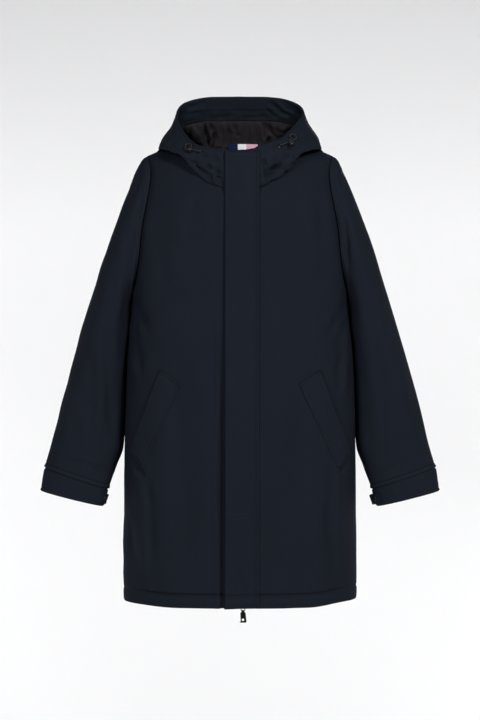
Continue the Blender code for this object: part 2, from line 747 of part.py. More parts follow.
def hood_places():
    """Places round the neck of the hood's columns, the same as the panels' columns."""
    back = [HOOD_HALF * (1 - p) for p in NECK_PLACES]
    left_end = neck_end(ZIP_X + ZIP_CLEAR)
    right = [-(HOOD_HALF + (1 - HOOD_HALF) * p) for p in NECK_PLACES[:-1]]
    left = [HOOD_HALF + (1 - HOOD_HALF) * left_end * p for p in NECK_PLACES[-2::-1]]
    return np.array(right + [-p for p in back[:0:-1]] + back + left)


def make_hood():
    phi = hood_places()
    outer = hood_points(phi, HOOD_LOW, HOOD_HIGH)
    outer[:, -1, 0] = ZIP_X + ZIP_CLEAR
    n = normals_of(outer, hood_outward(outer))
    ahead = np.where(outer[..., 1] < -0.03, 1.0, 0.0)
    outer = outer + n * (creases(outer, HOOD_CREASES) * ahead)[..., None]
    inward = -n
    inward[0] = unit(neck_directions(outer[0]) + (0, 0, 0.8))
    inward[-1] = unit((outer[-1] - (0, -0.02, 0)) * (-1, -1, 0))
    for end in (0, -1):
        inward[:, end] = (0, 1, 0)
    outer[0] += body_normals(outer[0]) * 2 * GAP
    inner = outer + inward * WALL
    middle = len(phi) // 2
    for side, name in ((-1, "hood_right"), (1, "hood_left")):
        span = slice(0, middle + 1) if side < 0 else slice(middle, None)
        shift = np.array([side * GAP / 2, 0, 0])
        finish(wall(name, outer[:, span] + shift, inner[:, span] + shift), "shell")
    return phi, outer, inward


def make_hood_inside(phi, shell, inward):
    """The self-cloth facing under the rim, and the lining from there to the neck."""
    behind_tape = FRONT_EXTRA * ease((np.abs(phi) - 0.74) / 0.14)[:, None]
    rows = len(HOOD_LOW)
    outer = shell[rows:] + inward[rows:] * (WALL + 2 * GAP + behind_tape)
    inner = outer + inward[rows:] * THIN_WALL
    finish(wall("hood_facing", outer, inner), "shell")

    extra = WALL + 2 * GAP + 0.0014 + behind_tape
    path = shell[:rows + 1] + inward[:rows + 1] * extra
    path[0] = shell[0] + neck_directions(shell[0]) * extra
    path[0, :, 2] += 0.0048
    path[1, :, 2] += 0.0012
    path[-2] += inward[rows - 1] * 0.0012
    path[-1] = inner[0] + inward[rows] * 2 * GAP + unit(path[-2] - inner[0]) * 0.0006
    share = np.array(HOOD_LOW + (1.0,))[:, None]
    chord = path[0] + (path[-1] - path[0]) * share[..., None]
    taut = smooth(LINING, "taut", np.abs(phi))
    for centre, width, depth in LINING_FOLDS[1:]:
        taut = taut + depth * np.exp(-((phi - centre) / width) ** 2)
    slack = (1 - np.clip(taut, 0.0, 1.0)) * np.sin(math.pi * share) ** 0.8
    cloth = chord + (path - chord) * slack[..., None]
    toward = inward[:rows + 1]
    finish(wall("hood_lining", cloth, cloth + toward * LINING_WALL), "lining")


# What lies on the fronts

def shell_trees():
    """Search trees of the fronts and the hood as they were made."""
    trees = []
    for name in ("front_right", "front_left", "hood_right", "hood_left"):
        mesh = bpy.data.objects[name].data
        corners = [vert.co for vert in mesh.vertices]
        trees.append(BVHTree.FromPolygons(corners, [tuple(f.vertices) for f in mesh.polygons]))
    return trees


def front_skin(x, z):
    """The made coat's foremost point at a place seen from the front, and its normal."""
    z = max(z, HEM_Z + GAP)
    for beside in (0, 2 * GAP, -2 * GAP):
        start = Vector((x, -1.0, z + beside))
        hits = [tree.ray_cast(start, Vector((0, 1, 0))) for tree in SHELLS]
        found = [hit for hit in hits if hit[0] is not None and hit[0].y < 0]
        if found:
            near = min(found, key=lambda hit: hit[3])
            return np.array(near[0]), np.array(near[1])
    return None, None


def soft_skin(x, z, reach=0.006):
    """front_skin with its normal averaged over the places around."""
    steps = (-reach, 0, reach)
    around = [front_skin(x + a, z + b)[1] for a in steps for b in steps]
    around = [normal for normal in around if normal is not None]
    return front_skin(x, z)[0], unit(np.mean(around, axis=0))


def middle_heights():
    """Heights of the rows of the fronts and of the hood's front ends."""
    neck_z = NECK_FRONT[-1][2]
    drops = [1 - math.cos(math.radians(roll)) for roll in ROLL_ANGLES[1:]]
    rolled = [neck_z - (neck_z - ARM_FULL_Z) * drop for drop in drops]
    hood = hood_points(np.array([-1.0]), HOOD_LOW, HOOD_HIGH)[1:, 0, 2]
    return row_heights() + rolled + [float(z) for z in hood]


def placket_skin(xs, zs, forward, over_zip=ZIP_CLEAR + 0.0004):
    """Points in front of the coat's front, moved straight forward.

    Between the two front edges, where only the zip lies, the right front's edge counts.
    """
    grid = np.zeros((len(zs), len(xs), 3))
    for row, z in enumerate(zs):
        for spot, x in enumerate(xs):
            seen_x = -GAP if abs(x - ZIP_X) < over_zip else x
            grid[row, spot] = front_skin(seen_x, z - 0.0001)[0]
            grid[row, spot, 0] = x
            grid[row, spot, 2] = z
    grid[..., 1] -= forward
    return grid


def make_placket():
    xs = np.linspace(PLACKET_FREE_X, PLACKET_SEWN_X, 6)
    zs = [z for z in middle_heights() if z < PLACKET_TOP_Z - 0.004] + [PLACKET_TOP_Z]
    over_hood = 0.0014 * ease((np.array(zs) + 0.090) / 0.020)[:, None]
    low = placket_skin(xs, zs, 2 * GAP + over_hood)
    low[0, :, 2] = HEM_Z
    high = low - (0, WALL, 0)
    finish(wall("placket", high, low), "shell")


def make_pockets():
    corners = {row[0]: np.array(row[1:]) for row in POCKET[1:]}
    for side, name in ((-1, "right"), (1, "left")):
        rows = []
        for b in np.linspace(0, 1, 7):
            outer = corners["outer_bottom"] * (1 - b) + corners["outer_top"] * b
            inner = corners["inner_bottom"] * (1 - b) + corners["inner_top"] * b
            rows.append([inner * (1 - a) + outer * a for a in np.linspace(0, 1, 4)])
        flat = np.array(rows)
        half = smooth(TORSO, "half", flat[..., 1])
        points = torso(flat[..., 0] / half, flat[..., 1], FRONT)
        points[..., 0] *= side
        n = normals_of(points, points * (1, 1, 0) - (0, SIDE_Y, 0))
        low = points + n * 2 * GAP
        high = low + n * WELT_WALL
        finish(wall("pocket_welt_" + name, high, low), "shell")


def make_zip():
    """Two tapes behind the front edges, with the chain between them."""
    offsets = np.array([-TAPE_HALF, -CHAIN_HALF - 0.0005, -CHAIN_HALF, CHAIN_HALF,
                        CHAIN_HALF + 0.0005, TAPE_HALF])
    proud = np.array([0, 0, 1, 1, 0, 0]) * CHAIN_PROUD
    zs = [CHAIN_END_Z] + [z for z in middle_heights() if CHAIN_END_Z < z < CHAIN_TOP_Z]
    zs.append(CHAIN_TOP_Z)
    behind = placket_skin([-0.007, -GAP, 2 * ZIP_X + GAP, 0.018], zs, 0.0, 0.0)
    middle = behind[:, :1].copy()
    middle[:, 0, 0] = ZIP_X
    middle[:, 0, 1] = behind[..., 1].max(axis=1) + WALL + 2 * GAP + 0.0006
    front = np.repeat(middle, len(offsets), axis=1)
    front[..., 0] += offsets
    back = front + (0, TAPE_WALL, 0)
    front[..., 1] -= proud
    back[..., 1] = back[:, :1, 1]
    finish(wall("zip", front, back), "zip_tape")
    return middle[0, 0], middle[-1, 0], middle[-1, 0] - middle[-2, 0]


def box(name, size, centre, bevel):
    bm = bmesh.new()
    bmesh.ops.create_cube(bm, size=1.0)
    bmesh.ops.scale(bm, vec=size, verts=bm.verts[:])
    bmesh.ops.translate(bm, vec=centre, verts=bm.verts[:])
    bmesh.ops.bevel(bm, geom=bm.edges[:], offset=bevel, segments=2, profile=0.5,
                    affect="EDGES", material=-1)
    return add_mesh(name, bm)


def boolean(obj, cutter, operation):
    """Cuts or joins, and keeps the cutter in its own collection as a guide."""
    modifier = obj.modifiers.new(operation.title(), "BOOLEAN")
    modifier.operation = operation
    modifier.solver = "EXACT"
    modifier.object = cutter
    for collection in list(cutter.users_collection):
        collection.objects.unlink(cutter)
    CUTTERS.objects.link(cutter)
    cutter.hide_render = True
    cutter.display_type = "WIRE"


def tube(name, points, radius, resolution=2):
    """A wire or cord as a curve with filled ends."""
    curve = bpy.data.curves.new(name, "CURVE")
    curve.dimensions = "3D"
    curve.bevel_depth = radius
    curve.bevel_resolution = resolution
    curve.use_fill_caps = True
    spline = curve.splines.new("POLY")
    spline.points.add(len(points) - 1)
    for point, co in zip(spline.points, points):
        point.co = (*co, 1.0)
    obj = bpy.data.objects.new(name, curve)
    PARTS.objects.link(obj)
    return obj


def tube_mesh(name, points, radius, resolution=2):
    """The same wire as a closed mesh, for joining."""
    curve = tube(name + "_line", points, radius, resolution)
    bpy.context.view_layer.update()
    held = curve.evaluated_get(bpy.context.evaluated_depsgraph_get())
    mesh = bpy.data.meshes.new_from_object(held)
    bpy.data.objects.remove(curve)
    bm = bmesh.new()
    bm.from_mesh(mesh)
    bmesh.ops.remove_doubles(bm, verts=bm.verts[:], dist=1e-6)
    bmesh.ops.recalc_face_normals(bm, faces=bm.faces[:])
    bpy.data.meshes.remove(mesh)
    return add_mesh(name, bm)


def cylinder(name, radius, half, centre, axis, segments=16):
    """A closed cylinder of two half lengths along X, Y or Z."""
    bm = bmesh.new()
    bmesh.ops.create_cone(bm, cap_ends=True, segments=segments, radius1=radius,
                          radius2=radius, depth=half * 2)
    turn = {"X": Matrix.Rotation(math.pi / 2, 3, "Y"), "Y": Matrix.Rotation(math.pi / 2, 3, "X"),
            "Z": Matrix.Identity(3)}[axis]
    bmesh.ops.transform(bm, matrix=turn.to_4x4(), verts=bm.verts[:])
    bmesh.ops.translate(bm, vec=centre, verts=bm.verts[:])
    return add_mesh(name, bm)


def make_slider(chain_low, hinge):
    """The lower slider with its bail, from which the pull tab hangs."""
    depth_y = chain_low[1] + TAPE_WALL / 2 + 0.0004
    low_z = HEM_Z - 0.0004
    body = box("zip_slider", (SLIDER_WIDE, SLIDER_DEEP, SLIDER_TALL),
               (ZIP_X, depth_y, low_z + SLIDER_TALL / 2), 0.0009)
    leg = np.array([0, 0, 0.0065])
    left = np.array([BAIL_HALF, 0, 0])
    bend = 0.0009
    route = [hinge - left + leg, hinge - left + (0, 0, bend), hinge - left + (bend, 0, 0),
             hinge + left - (bend, 0, 0), hinge + left + (0, 0, bend), hinge + left + leg]
    bail = tube_mesh("zip_slider_bail", route, WIRE)
    boolean(body, bail, "UNION")
    finish(body, "metal")


def make_top_slider(chain_top, rise):
    """The upper slider, closed under the flap, leaning as the zip does there."""
    body = box("zip_slider_top", (SLIDER_WIDE, SLIDER_DEEP, SLIDER_TALL),
               (0, 0, SLIDER_TALL / 2 + GAP * 2), 0.0009)
    body.location = chain_top + (0, TAPE_WALL / 2 - 0.0002, 0)
    body.rotation_euler[0] = math.atan2(-rise[1], rise[2])
    finish(body, "metal")


def make_pull(hinge):
    """The tab: a rolled eye on the bail and a plate that widens to a round hole."""
    curve = bpy.data.curves.new("zip_pull_outline", "CURVE")
    curve.dimensions = "2D"
    curve.fill_mode = "BOTH"
    curve.extrude = PULL_HALF_THICK
    low = -PULL_LONG
    corner = 0.0022
    outline = [(-EYE_HALF, -0.0012), (EYE_HALF, -0.0012), (PULL_TOP_HALF, -0.0040)]
    for side, start in ((1, -45), (-1, -135)):
        for step in (1, 0, -1):
            angle = math.radians(start + side * 45 * step)
            outline.append((side * (PULL_LOW_HALF - corner) + corner * math.cos(angle),
                            low + corner + corner * math.sin(angle)))
    outline.append((-PULL_TOP_HALF, -0.0040))
    spline = curve.splines.new("POLY")
    spline.points.add(len(outline) - 1)
    for point, (x, y) in zip(spline.points, outline):
        point.co = (x, y, 0, 1)
    spline.use_cyclic_u = True
    flat = bpy.data.objects.new("zip_pull_outline", curve)
    PARTS.objects.link(flat)
    bpy.context.view_layer.update()
    held = flat.evaluated_get(bpy.context.evaluated_depsgraph_get())
    mesh = bpy.data.meshes.new_from_object(held)
    bpy.data.objects.remove(flat)
    bm = bmesh.new()
    bm.from_mesh(mesh)
    bmesh.ops.remove_doubles(bm, verts=bm.verts[:], dist=1e-6)
    bmesh.ops.recalc_face_normals(bm, faces=bm.faces[:])
    bmesh.ops.transform(bm, matrix=Matrix.Rotation(math.pi / 2, 4, "X"), verts=bm.verts[:])
    bpy.data.meshes.remove(mesh)
    pull = add_mesh("zip_pull", bm)
    eye = cylinder("zip_pull_eye", EYE_RADIUS, EYE_HALF, (0, 0, 0), "X")
    bore = cylinder("zip_pull_bore", EYE_BORE, EYE_HALF * 2, (0, 0, 0), "X")
    hole = cylinder("zip_pull_hole", 0.0024, 0.004, (0, 0, low + 0.0056), "Y")
    for cutter, operation in ((eye, "UNION"), (bore, "DIFFERENCE"), (hole, "DIFFERENCE")):
        boolean(pull, cutter, operation)
    for obj in (pull, eye, bore, hole):
        obj.location = hinge
    finish(pull, "metal")


# Neck loop and drawcord ends

def make_hanger_loop():
    """A flat ribbon across the back of the neck, sewn down at its two ends."""
    xs = np.linspace(LOOP_RIGHT_X, LOOP_LEFT_X, 9)
    across = (xs - xs[0]) / (xs[-1] - xs[0])
    bow = LOOP_BOW * np.sin(math.pi * across) ** 0.6
    back_y = LOOP_SEAT_Y - (xs / NECK_ROUND) ** 2
    rows = [np.stack([xs, back_y - bow, np.full(len(xs), z)], axis=-1)
            for z in (LOOP_LOW_Z, LOOP_HIGH_Z)]
    back = np.array(rows)
    finish(wall("hanger_loop", back - (0, LOOP_WALL, 0), back), "ribbon")


def cord_route(table):
    """A cord's points above the hood, and the hood's outward vectors under them."""
    spots = [soft_skin(x, z) for x, z, _ in table[1:]]
    heights = column(table, "proud")
    points = np.array([spot + out * h for (spot, out), h in zip(spots, heights)])
    return points, np.array([out for _, out in spots])


def fine_route(points, steps=3):
    """A soft curve through a route's points, read a few times between each two."""
    table = [("t", "x", "y", "z")] + [(float(k), *p) for k, p in enumerate(points)]
    last = len(points) - 1
    at = np.linspace(0, last, last * steps + 1)
    return np.stack([smooth(table, axis, at) for axis in "xyz"], axis=-1)


def make_drawcord(table, name, upright):
    points, outs = cord_route(table)
    cord = tube("drawcord_" + name, fine_route(points, 2), CORD_THICK / 2)
    finish(cord, "cord")
    spot, out = soft_skin(table[1][0], table[1][1])
    bm = bmesh.new()
    bmesh.ops.create_circle(bm, cap_ends=True, segments=6, radius=EYELET_WIRE,
                            matrix=Matrix.Translation((EYELET_RING, 0, 0))
                            @ Matrix.Rotation(math.pi / 2, 4, "X"))
    bmesh.ops.spin(bm, geom=bm.verts[:] + bm.edges[:] + bm.faces[:], cent=(0, 0, 0),
                   axis=(0, 0, 1), angle=math.tau, steps=16, use_merge=True)
    bmesh.ops.delete(bm, geom=[f for f in bm.faces if len(f.verts) > 4], context="FACES")
    bmesh.ops.remove_doubles(bm, verts=bm.verts[:], dist=1e-6)
    bmesh.ops.recalc_face_normals(bm, faces=bm.faces[:])
    eyelet = add_mesh("eyelet_" + name, bm)
    place(eyelet, spot + out * (EYELET_WIRE + EYELET_LIFT), out)
    finish(eyelet, "metal")

    through = unit(points[LOCK_POINT + 1] - points[LOCK_POINT - 1])
    out = outs[LOCK_POINT]
    up = unit(np.cross(through, out))
    up = up if up[2] > 0 else -up
    axis = up if upright else unit(out - through * (out @ through))
    stand = LOCK_LONG / 2 + LOCK_ABOVE - column(table, "proud")[LOCK_POINT]
    centre = points[LOCK_POINT] + axis * (-LOCK_DOWN if upright else stand)
    barrel = round_barrel("cord_lock_" + name)
    place(barrel, centre, axis)
    bore = cylinder("cord_lock_bore_" + name, LOCK_BORE, LOCK_RADIUS * 2, (0, 0, 0), "Z")
    place(bore, points[LOCK_POINT], through)
    boolean(barrel, bore, "DIFFERENCE")
    finish(barrel, "plastic")


def round_barrel(name):
    """A barrel-shaped cord lock about its own Z, with its button in its upper end."""
    profile = ((0.0, 0.50), (0.60, 0.50), (0.68, 0.44), (0.70, 0.30), (0.94, 0.28),
               (1.0, 0.20), (1.0, -0.40), (0.86, -0.50), (0.0, -0.50))
    bm = bmesh.new()
    verts = [bm.verts.new((r * LOCK_RADIUS, 0, h * LOCK_LONG)) for r, h in profile]
    for a, b in zip(verts, verts[1:]):
        bm.edges.new((a, b))
    bmesh.ops.spin(bm, geom=bm.verts[:] + bm.edges[:], cent=(0, 0, 0), axis=(0, 0, 1),
                   angle=math.tau, steps=14, use_merge=True)
    bmesh.ops.remove_doubles(bm, verts=bm.verts[:], dist=1e-6)
    bmesh.ops.recalc_face_normals(bm, faces=bm.faces[:])
    return add_mesh(name, bm)


for old in list(bpy.data.objects):
    bpy.data.objects.remove(old)
PARTS = new_collection("parka")
CUTTERS = new_collection("cutters")

front_edges = make_fronts()
back_edges = make_back()
for side, name, tab_stand in ((-1, "right", 0.0010), (1, "left", 0.0050)):
    ring = armhole_ring(front_edges[side], back_edges[side])
    make_sleeve(ring, side, name)
    make_tab(side, name, tab_stand)
make_hood_inside(*make_hood())
SHELLS = shell_trees()
make_placket()
make_pockets()
chain_low, chain_top, chain_rise = make_zip()
hinge = np.array([ZIP_X, chain_low[1] + TAPE_WALL / 2 + 0.0004, HEM_Z - HINGE_DROP])
make_slider(chain_low, hinge)
make_top_slider(chain_top, chain_rise)
make_pull(hinge)
make_hanger_loop()
make_drawcord(CORD_RIGHT, "right", False)
make_drawcord(CORD_LEFT, "left", True)
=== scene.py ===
import math

import bmesh
import bpy
import numpy as np
from mathutils import Matrix, Vector
from mathutils.bvhtree import BVHTree


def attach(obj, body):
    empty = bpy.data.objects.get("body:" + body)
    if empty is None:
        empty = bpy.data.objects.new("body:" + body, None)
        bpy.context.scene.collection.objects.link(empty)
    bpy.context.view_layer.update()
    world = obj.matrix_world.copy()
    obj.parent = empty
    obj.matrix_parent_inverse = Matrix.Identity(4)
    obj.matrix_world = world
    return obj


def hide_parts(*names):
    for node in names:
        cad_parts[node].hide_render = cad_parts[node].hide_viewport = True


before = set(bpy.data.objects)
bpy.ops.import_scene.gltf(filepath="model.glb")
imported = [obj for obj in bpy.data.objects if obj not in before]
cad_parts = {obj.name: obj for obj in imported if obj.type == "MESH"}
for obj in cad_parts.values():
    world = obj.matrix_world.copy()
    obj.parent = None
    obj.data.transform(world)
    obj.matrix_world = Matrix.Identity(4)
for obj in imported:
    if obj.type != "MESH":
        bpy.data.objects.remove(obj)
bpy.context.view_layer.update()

cameraView = {"away": 3.0, "height": -0.404, "lens": 75.0, "sensor": 36.0}


def addObject(name, data, material=None):
    if material:
        data.materials.append(material)
    obj = bpy.data.objects.new(name, data)
    bpy.context.scene.collection.objects.link(obj)
    return obj


def makeCamera():
    data = bpy.data.cameras.new("camera")
    data.lens = cameraView["lens"]
    data.sensor_width = cameraView["sensor"]
    data.clip_end = 40.0
    camera = addObject("camera", data)
    camera.location = (0, -cameraView["away"], cameraView["height"])
    camera.rotation_euler = (math.pi / 2, 0, 0)
    bpy.context.scene.camera = camera


makeCamera()


def thousandths(names, *rows):
    # A table of named columns, written in millimetres or in thousandths of a share
    return (names,) + tuple(tuple(value / 1000 for value in row) for row in rows)


# Driving sizes of the coat
shellWall = 0.003  # shell cloth with its thin wadding
thinWall = 0.002  # facing
liningWall = 0.0012
weltWall = 0.0024
seamGap = 0.0003  # clearance between neighbouring pieces
hemZ = -0.880
underarmZ = -0.270
armFullZ = -0.185  # height where the armhole has its full depth
sideY = -0.015  # the side seams
armFrontY = -0.070  # front and back edges of the armhole
armBackY = 0.078
squareness = 2.5  # roundness of the body's section, 2 is an ellipse
frontRoll = 0.150  # height over which the chest rolls on to the shoulder
backRoll = 0.110
shoulderEndX = 0.1850
neckSideX = 0.105  # side of the neckline, on the shoulder seam
neckShare = 0.6  # share of a panel's top edge that is neckline
atFront, atBack = -1, 1
zipX = 0.0057
zipClear = 0.0057  # from the zip's middle to each front edge
placketFreeX = -0.030
placketSewnX = 0.038
placketTopZ = -0.0005
facingDeep = 0.047
frontExtra = 0.0042  # how much further in the hood's inner layers lie by the zip
cuffT = 0.915  # where along the sleeve the cuff starts
cuffProud = 0.0012
tabLow, tabHigh = 0.42, 0.88  # the tab's place down the cuff
tabFront, tabBack = 0.55, -0.80  # its ends, in radians from the cuff's inner edge
tabWall = 0.0018
snapAngle = 0.33
snapRadius = 0.0046
snapTall = 0.0024

# Half width of the body, and how far its middle stands forward and back. Above the
# underarm the body goes on round as if it had no arms, and the armhole cuts it off.
torsoRows = thousandths(
    ("z", "half", "front", "back"),
    (-880, 231, -132, 138), (-740, 230.8, -133, 137), (-600, 230, -134, 135),
    (-500, 227.8, -135, 133), (-400, 223.2, -135, 130), (-350, 219.5, -134, 129),
    (-300, 214.5, -132, 127), (-270, 212.5, -131, 126), (-200, 213, -127, 123),
    (-144, 210, -121, 120), (-96, 205, -114, 118), (-60, 202, -109, 116),
    (-30, 201.5, -107, 115), (4, 210.5, -105, 114), (46, 213, -104, 113))
# The line of the shoulder, which inside the neckline is only a guide
ridgeRows = thousandths(
    ("x", "z"),
    (0, 46), (60, 39.5), (105, 27), (140, 18.5), (166, 11.5), (184.5, 4), (210, -12))
# The neckline from the shoulder seam (0) to the middle (1)
neckFrontRows = thousandths(
    ("p", "x", "z"),
    (0, 105, 27), (120, 103.6, 12), (280, 99, -6), (460, 88, -30),
    (640, 70, -53), (820, 40.5, -70), (1000, 0, -76))
neckBackRows = thousandths(
    ("p", "x", "z"),
    (0, 105, 27), (250, 94, 26.5), (500, 70, 23), (750, 36, 19.5), (1000, 0, 18))
# Sleeve sections from the armhole (0) to the hem of the cuff (1)
sleeveRows = thousandths(
    ("t", "outer_x", "outer_z", "inner_x", "inner_z", "deep", "middle_y"),
    (0, 185, 4, 212.5, -270, 74, 4),
    (50, 201, -16, 213.7, -277, 76, 3),
    (120, 216, -50, 215.2, -290, 79, 2),
    (220, 238.5, -106, 218.4, -315, 81, 1),
    (340, 266, -184, 222.6, -352, 80, 0),
    (460, 296, -278, 226.6, -398, 76, -1),
    (580, 323, -368, 229.7, -440, 68, -2),
    (700, 349, -462, 232.8, -510, 55, -4),
    (840, 374.5, -562, 244, -606, 40, -6),
    (920, 388, -612, 260.5, -655, 32, -7),
    (1000, 397, -664, 273.5, -695, 27, -8))
sleeveSquare = 2.15
armholeFade = 0.30  # share of the sleeve over which the armhole's shape fades
# Hood sections from the middle of the back (0) to the zip (1). The belly is the widest
# place of a section and the rim its top edge, which stands higher on the wearer's left.
hoodRows = thousandths(
    ("phi", "belly_x", "belly_y", "belly_z", "rim_x", "rim_y", "rim_z", "lift", "sag"),
    (0, 0, 166, -23, 0, 65, 132, 0, 16),
    (140, 95, 148, -14, 78, 60, 129, 0, 14),
    (280, 150, 94, 8, 122, 45, 111, 1, 6),
    (400, 166, 20, 23, 129.5, 13, 82, 8, 3),
    (520, 161, -42, 21, 121, -27, 56, 15, 2),
    (640, 135, -85, 5, 104, -60, 30, 18, 2),
    (760, 97, -103, -20, 81, -86, 11, 14, 0),
    (880, 52, -113, -36, 46, -99, 2, 9, 0),
    (1000, 0, -115, -40, 0, -104, -1, 4, 0))
hoodHalf = 0.5  # phi of the shoulder seam
softening = 420  # rounds of averaging that round the hood's bends
hoodClear = 0.0040  # least height of the hood above the body outside its seam
# How far the hood's lining keeps from the shell toward the straight line from the neck
# to the facing: 0 is against the shell and 1 is straight
liningRows = thousandths(
    ("phi", "taut"),
    (0, 620), (200, 500), (400, 350), (600, 400), (800, 600), (1000, 800))
# Deep folds and full lobes of the lining, by the place round the neck
liningFolds = thousandths(
    ("phi", "width", "depth"),
    (-335, 50, 220), (-205, 45, -300), (-100, 35, 140),
    (85, 40, 120), (205, 45, -300), (320, 50, 200))
# A fold's line from one end to the other, its bow, its width and its depth
foldColumns = ("x0", "z0", "x1", "z1", "bow", "width", "depth")
# Largest creases of the hood's front, as lines seen from the front
hoodCreases = thousandths(
    foldColumns,
    (-100, -10, -40, -58, 0, 7, -3), (-78, -14, -34, -36, 0, 6.5, -2.6),
    (46, -40, 62, -62, 0, 6.5, -3.2), (58, -50, 96, -8, 0, 7.5, -3.2),
    (46, -6, 86, 0, 0, 8, 2.4))

# A pocket's welt: its corners on the front panel, seen from the front
pocketCorners = {"outer_top": (0.155, -0.4225), "inner_top": (0.1115, -0.45),
                 "inner_bottom": (0.188, -0.615), "outer_bottom": (0.2165, -0.589)}
# Drawcord ends, from the eyelet through the lock and round the loop: place seen from
# the front and height above the hood
cordRight = thousandths(
    ("x", "z", "proud"),
    (-77, -2.6, 1.3), (-77.2, -2.4, 2.8), (-78.5, -1.8, 4.6), (-81.5, -1, 5.6),
    (-85.5, -0.4, 6), (-90, 0, 6), (-96, 0.3, 6), (-101, 0.8, 6),
    (-104.2, 2.8, 6), (-105.7, 6.2, 5.8), (-104.8, 10.2, 5.6), (-101.8, 13, 5.4),
    (-98, 13.8, 5.4), (-94.4, 12.2, 5.6), (-93, 9, 5.8), (-93.6, 6.6, 6))
cordLeft = thousandths(
    ("x", "z", "proud"),
    (78, 10.6, 1.3), (78.3, 10.7, 2.8), (79.6, 11.2, 4.6), (82.4, 12.2, 5.7),
    (86.2, 13.6, 6.2), (90, 15, 6.4), (97, 17.6, 6.4), (103, 20, 6.4),
    (106.4, 22.6, 6.2), (107.6, 26.2, 6), (106.2, 30, 5.8), (102.8, 32.2, 5.8),
    (98.8, 31.8, 6), (96.2, 29, 6.2), (96.2, 26.2, 6.4))

cordThick = 0.0020
lockPoint = 6  # the cord's point in the middle of its lock
lockRadius = 0.0047
lockLong = 0.0125
lockAbove = 0.0014  # gap between a standing lock and the hood
lockDown = 0.0030  # how far below its cord's bore an upright lock's middle is
eyeletRing = 0.0036
eyeletWire = 0.0011

# Hanger loop inside the back of the neck
loopLeftX = 0.0368
loopRightX = -0.0246
loopLowZ = 0.0245
loopHighZ = 0.0360
loopWall = 0.0014
loopSeatY = 0.0674  # where its ends are sewn, at the middle of the back
loopBow = 0.0085
loopUneven = 0.0004
neckRound = 0.60  # a larger value bends the seat less

# The zip's tapes, and where its chain ends
tapeHalf = 0.0125
tapeWall = 0.0009
chainEndZ = hemZ + 0.0130
chainTopZ = -0.0190


# Forms shared with the solids


def column(table, name):
    place = table[0].index(name)
    return np.array([row[place] for row in table[1:]])


def smooth(table, name, at):
    xs = column(table, table[0][0])
    ys = column(table, name)
    slopes = np.gradient(ys, xs)
    at = np.clip(at, xs[0], xs[-1])
    i = np.clip(np.searchsorted(xs, at, side="right") - 1, 0, len(xs) - 2)
    span = xs[i + 1] - xs[i]
    t = (at - xs[i]) / span
    start = ys[i] * (1 + 2 * t) * (1 - t) ** 2 + slopes[i] * span * t * (1 - t) ** 2
    end = ys[i + 1] * t * t * (3 - 2 * t) + slopes[i + 1] * span * t * t * (t - 1)
    return start + end


def spots(table, names, at):
    return np.stack([smooth(table, name, at) for name in names], axis=-1)


def bell(x, width):
    return np.exp(-((x / width) ** 2))


def ease(t):
    t = np.clip(t, 0.0, 1.0)
    return t * t * (3 - 2 * t)


def unit(vectors):
    size = np.linalg.norm(vectors, axis=-1, keepdims=True)
    return vectors / np.maximum(size, 1e-12)


def arcs(points, axis):
    steps = np.linalg.norm(np.diff(points, axis=axis), axis=-1)
    start = np.zeros_like(np.take(steps, [0], axis=axis))
    return np.concatenate([start, np.cumsum(steps, axis=axis)], axis=axis)


def alongLine(line, length, at):
    return np.stack([np.interp(at, length, line[:, k]) for k in range(3)], axis=-1)


def tangents(points, axis):
    steps = unit(np.diff(points, axis=axis))
    first = np.take(steps, [0], axis=axis)
    last = np.take(steps, [-1], axis=axis)
    before = np.concatenate([first, steps], axis=axis)
    after = np.concatenate([steps, last], axis=axis)
    return unit(before + after)


def normalsOf(points, outward):
    n = unit(np.cross(tangents(points, 1), tangents(points, 0)))
    return n * np.sign(np.sum(n * outward))


def ridgeZ(x):
    return smooth(ridgeRows, "z", np.abs(x))


def armholeRise(z):
    low = np.clip((armFullZ - z) / (armFullZ - underarmZ), 0.0, 1.0)
    return np.sqrt(1 - low**2)


def depthColumn(facing):
    return "front" if facing == atFront else "back"


def edgeShare(z, facing):
    armY = armFrontY if facing == atFront else armBackY
    middle = smooth(torsoRows, depthColumn(facing), z)
    corner = armholeRise(z) * (armY - sideY) / (middle - sideY)
    return (1 - corner**squareness) ** (1 / squareness)


def torso(u, z, facing):
    middle = smooth(torsoRows, depthColumn(facing), z)
    x = u * smooth(torsoRows, "half", z)
    corner = np.maximum(1 - np.abs(u) ** squareness, 0.0) ** (1 / squareness)
    full = sideY + (middle - sideY) * corner
    roll = frontRoll if facing == atFront else backRoll
    fall = np.clip((ridgeZ(x) - z) / roll, 0.0, 1.0)
    y = full * np.sqrt(1 - (1 - fall) ** 2)
    return np.stack([x, y, z + 0 * x], axis=-1)


def bodyTop(x, y):
    size = np.abs(x)
    roll = np.where(y < 0, frontRoll, backRoll)
    z = ridgeZ(size) - roll * 0.2
    for _ in range(6):
        u = np.clip(size / smooth(torsoRows, "half", z), 0.0, 1.0)
        corner = (1 - u**squareness) ** (1 / squareness)
        middle = np.where(y < 0, smooth(torsoRows, "front", z), smooth(torsoRows, "back", z))
        full = sideY + (middle - sideY) * corner
        share = np.clip(y / full, 0.0, 1.0)
        z = ridgeZ(size) - roll * (1 - np.sqrt(1 - share**2))
    return z


def bodyNormals(points):
    step = 0.0005
    x, y = points[..., 0], points[..., 1]
    downX = (bodyTop(x + step, y) - bodyTop(x - step, y)) / (2 * step)
    downY = (bodyTop(x, y + step) - bodyTop(x, y - step)) / (2 * step)
    return unit(np.stack([-downX, -downY, np.ones(x.shape)], axis=-1))


def neckEnd(edgeX):
    p = np.linspace(0.7, 1.0, 301)
    return float(np.interp(-edgeX, -smooth(neckFrontRows, "x", p), p))


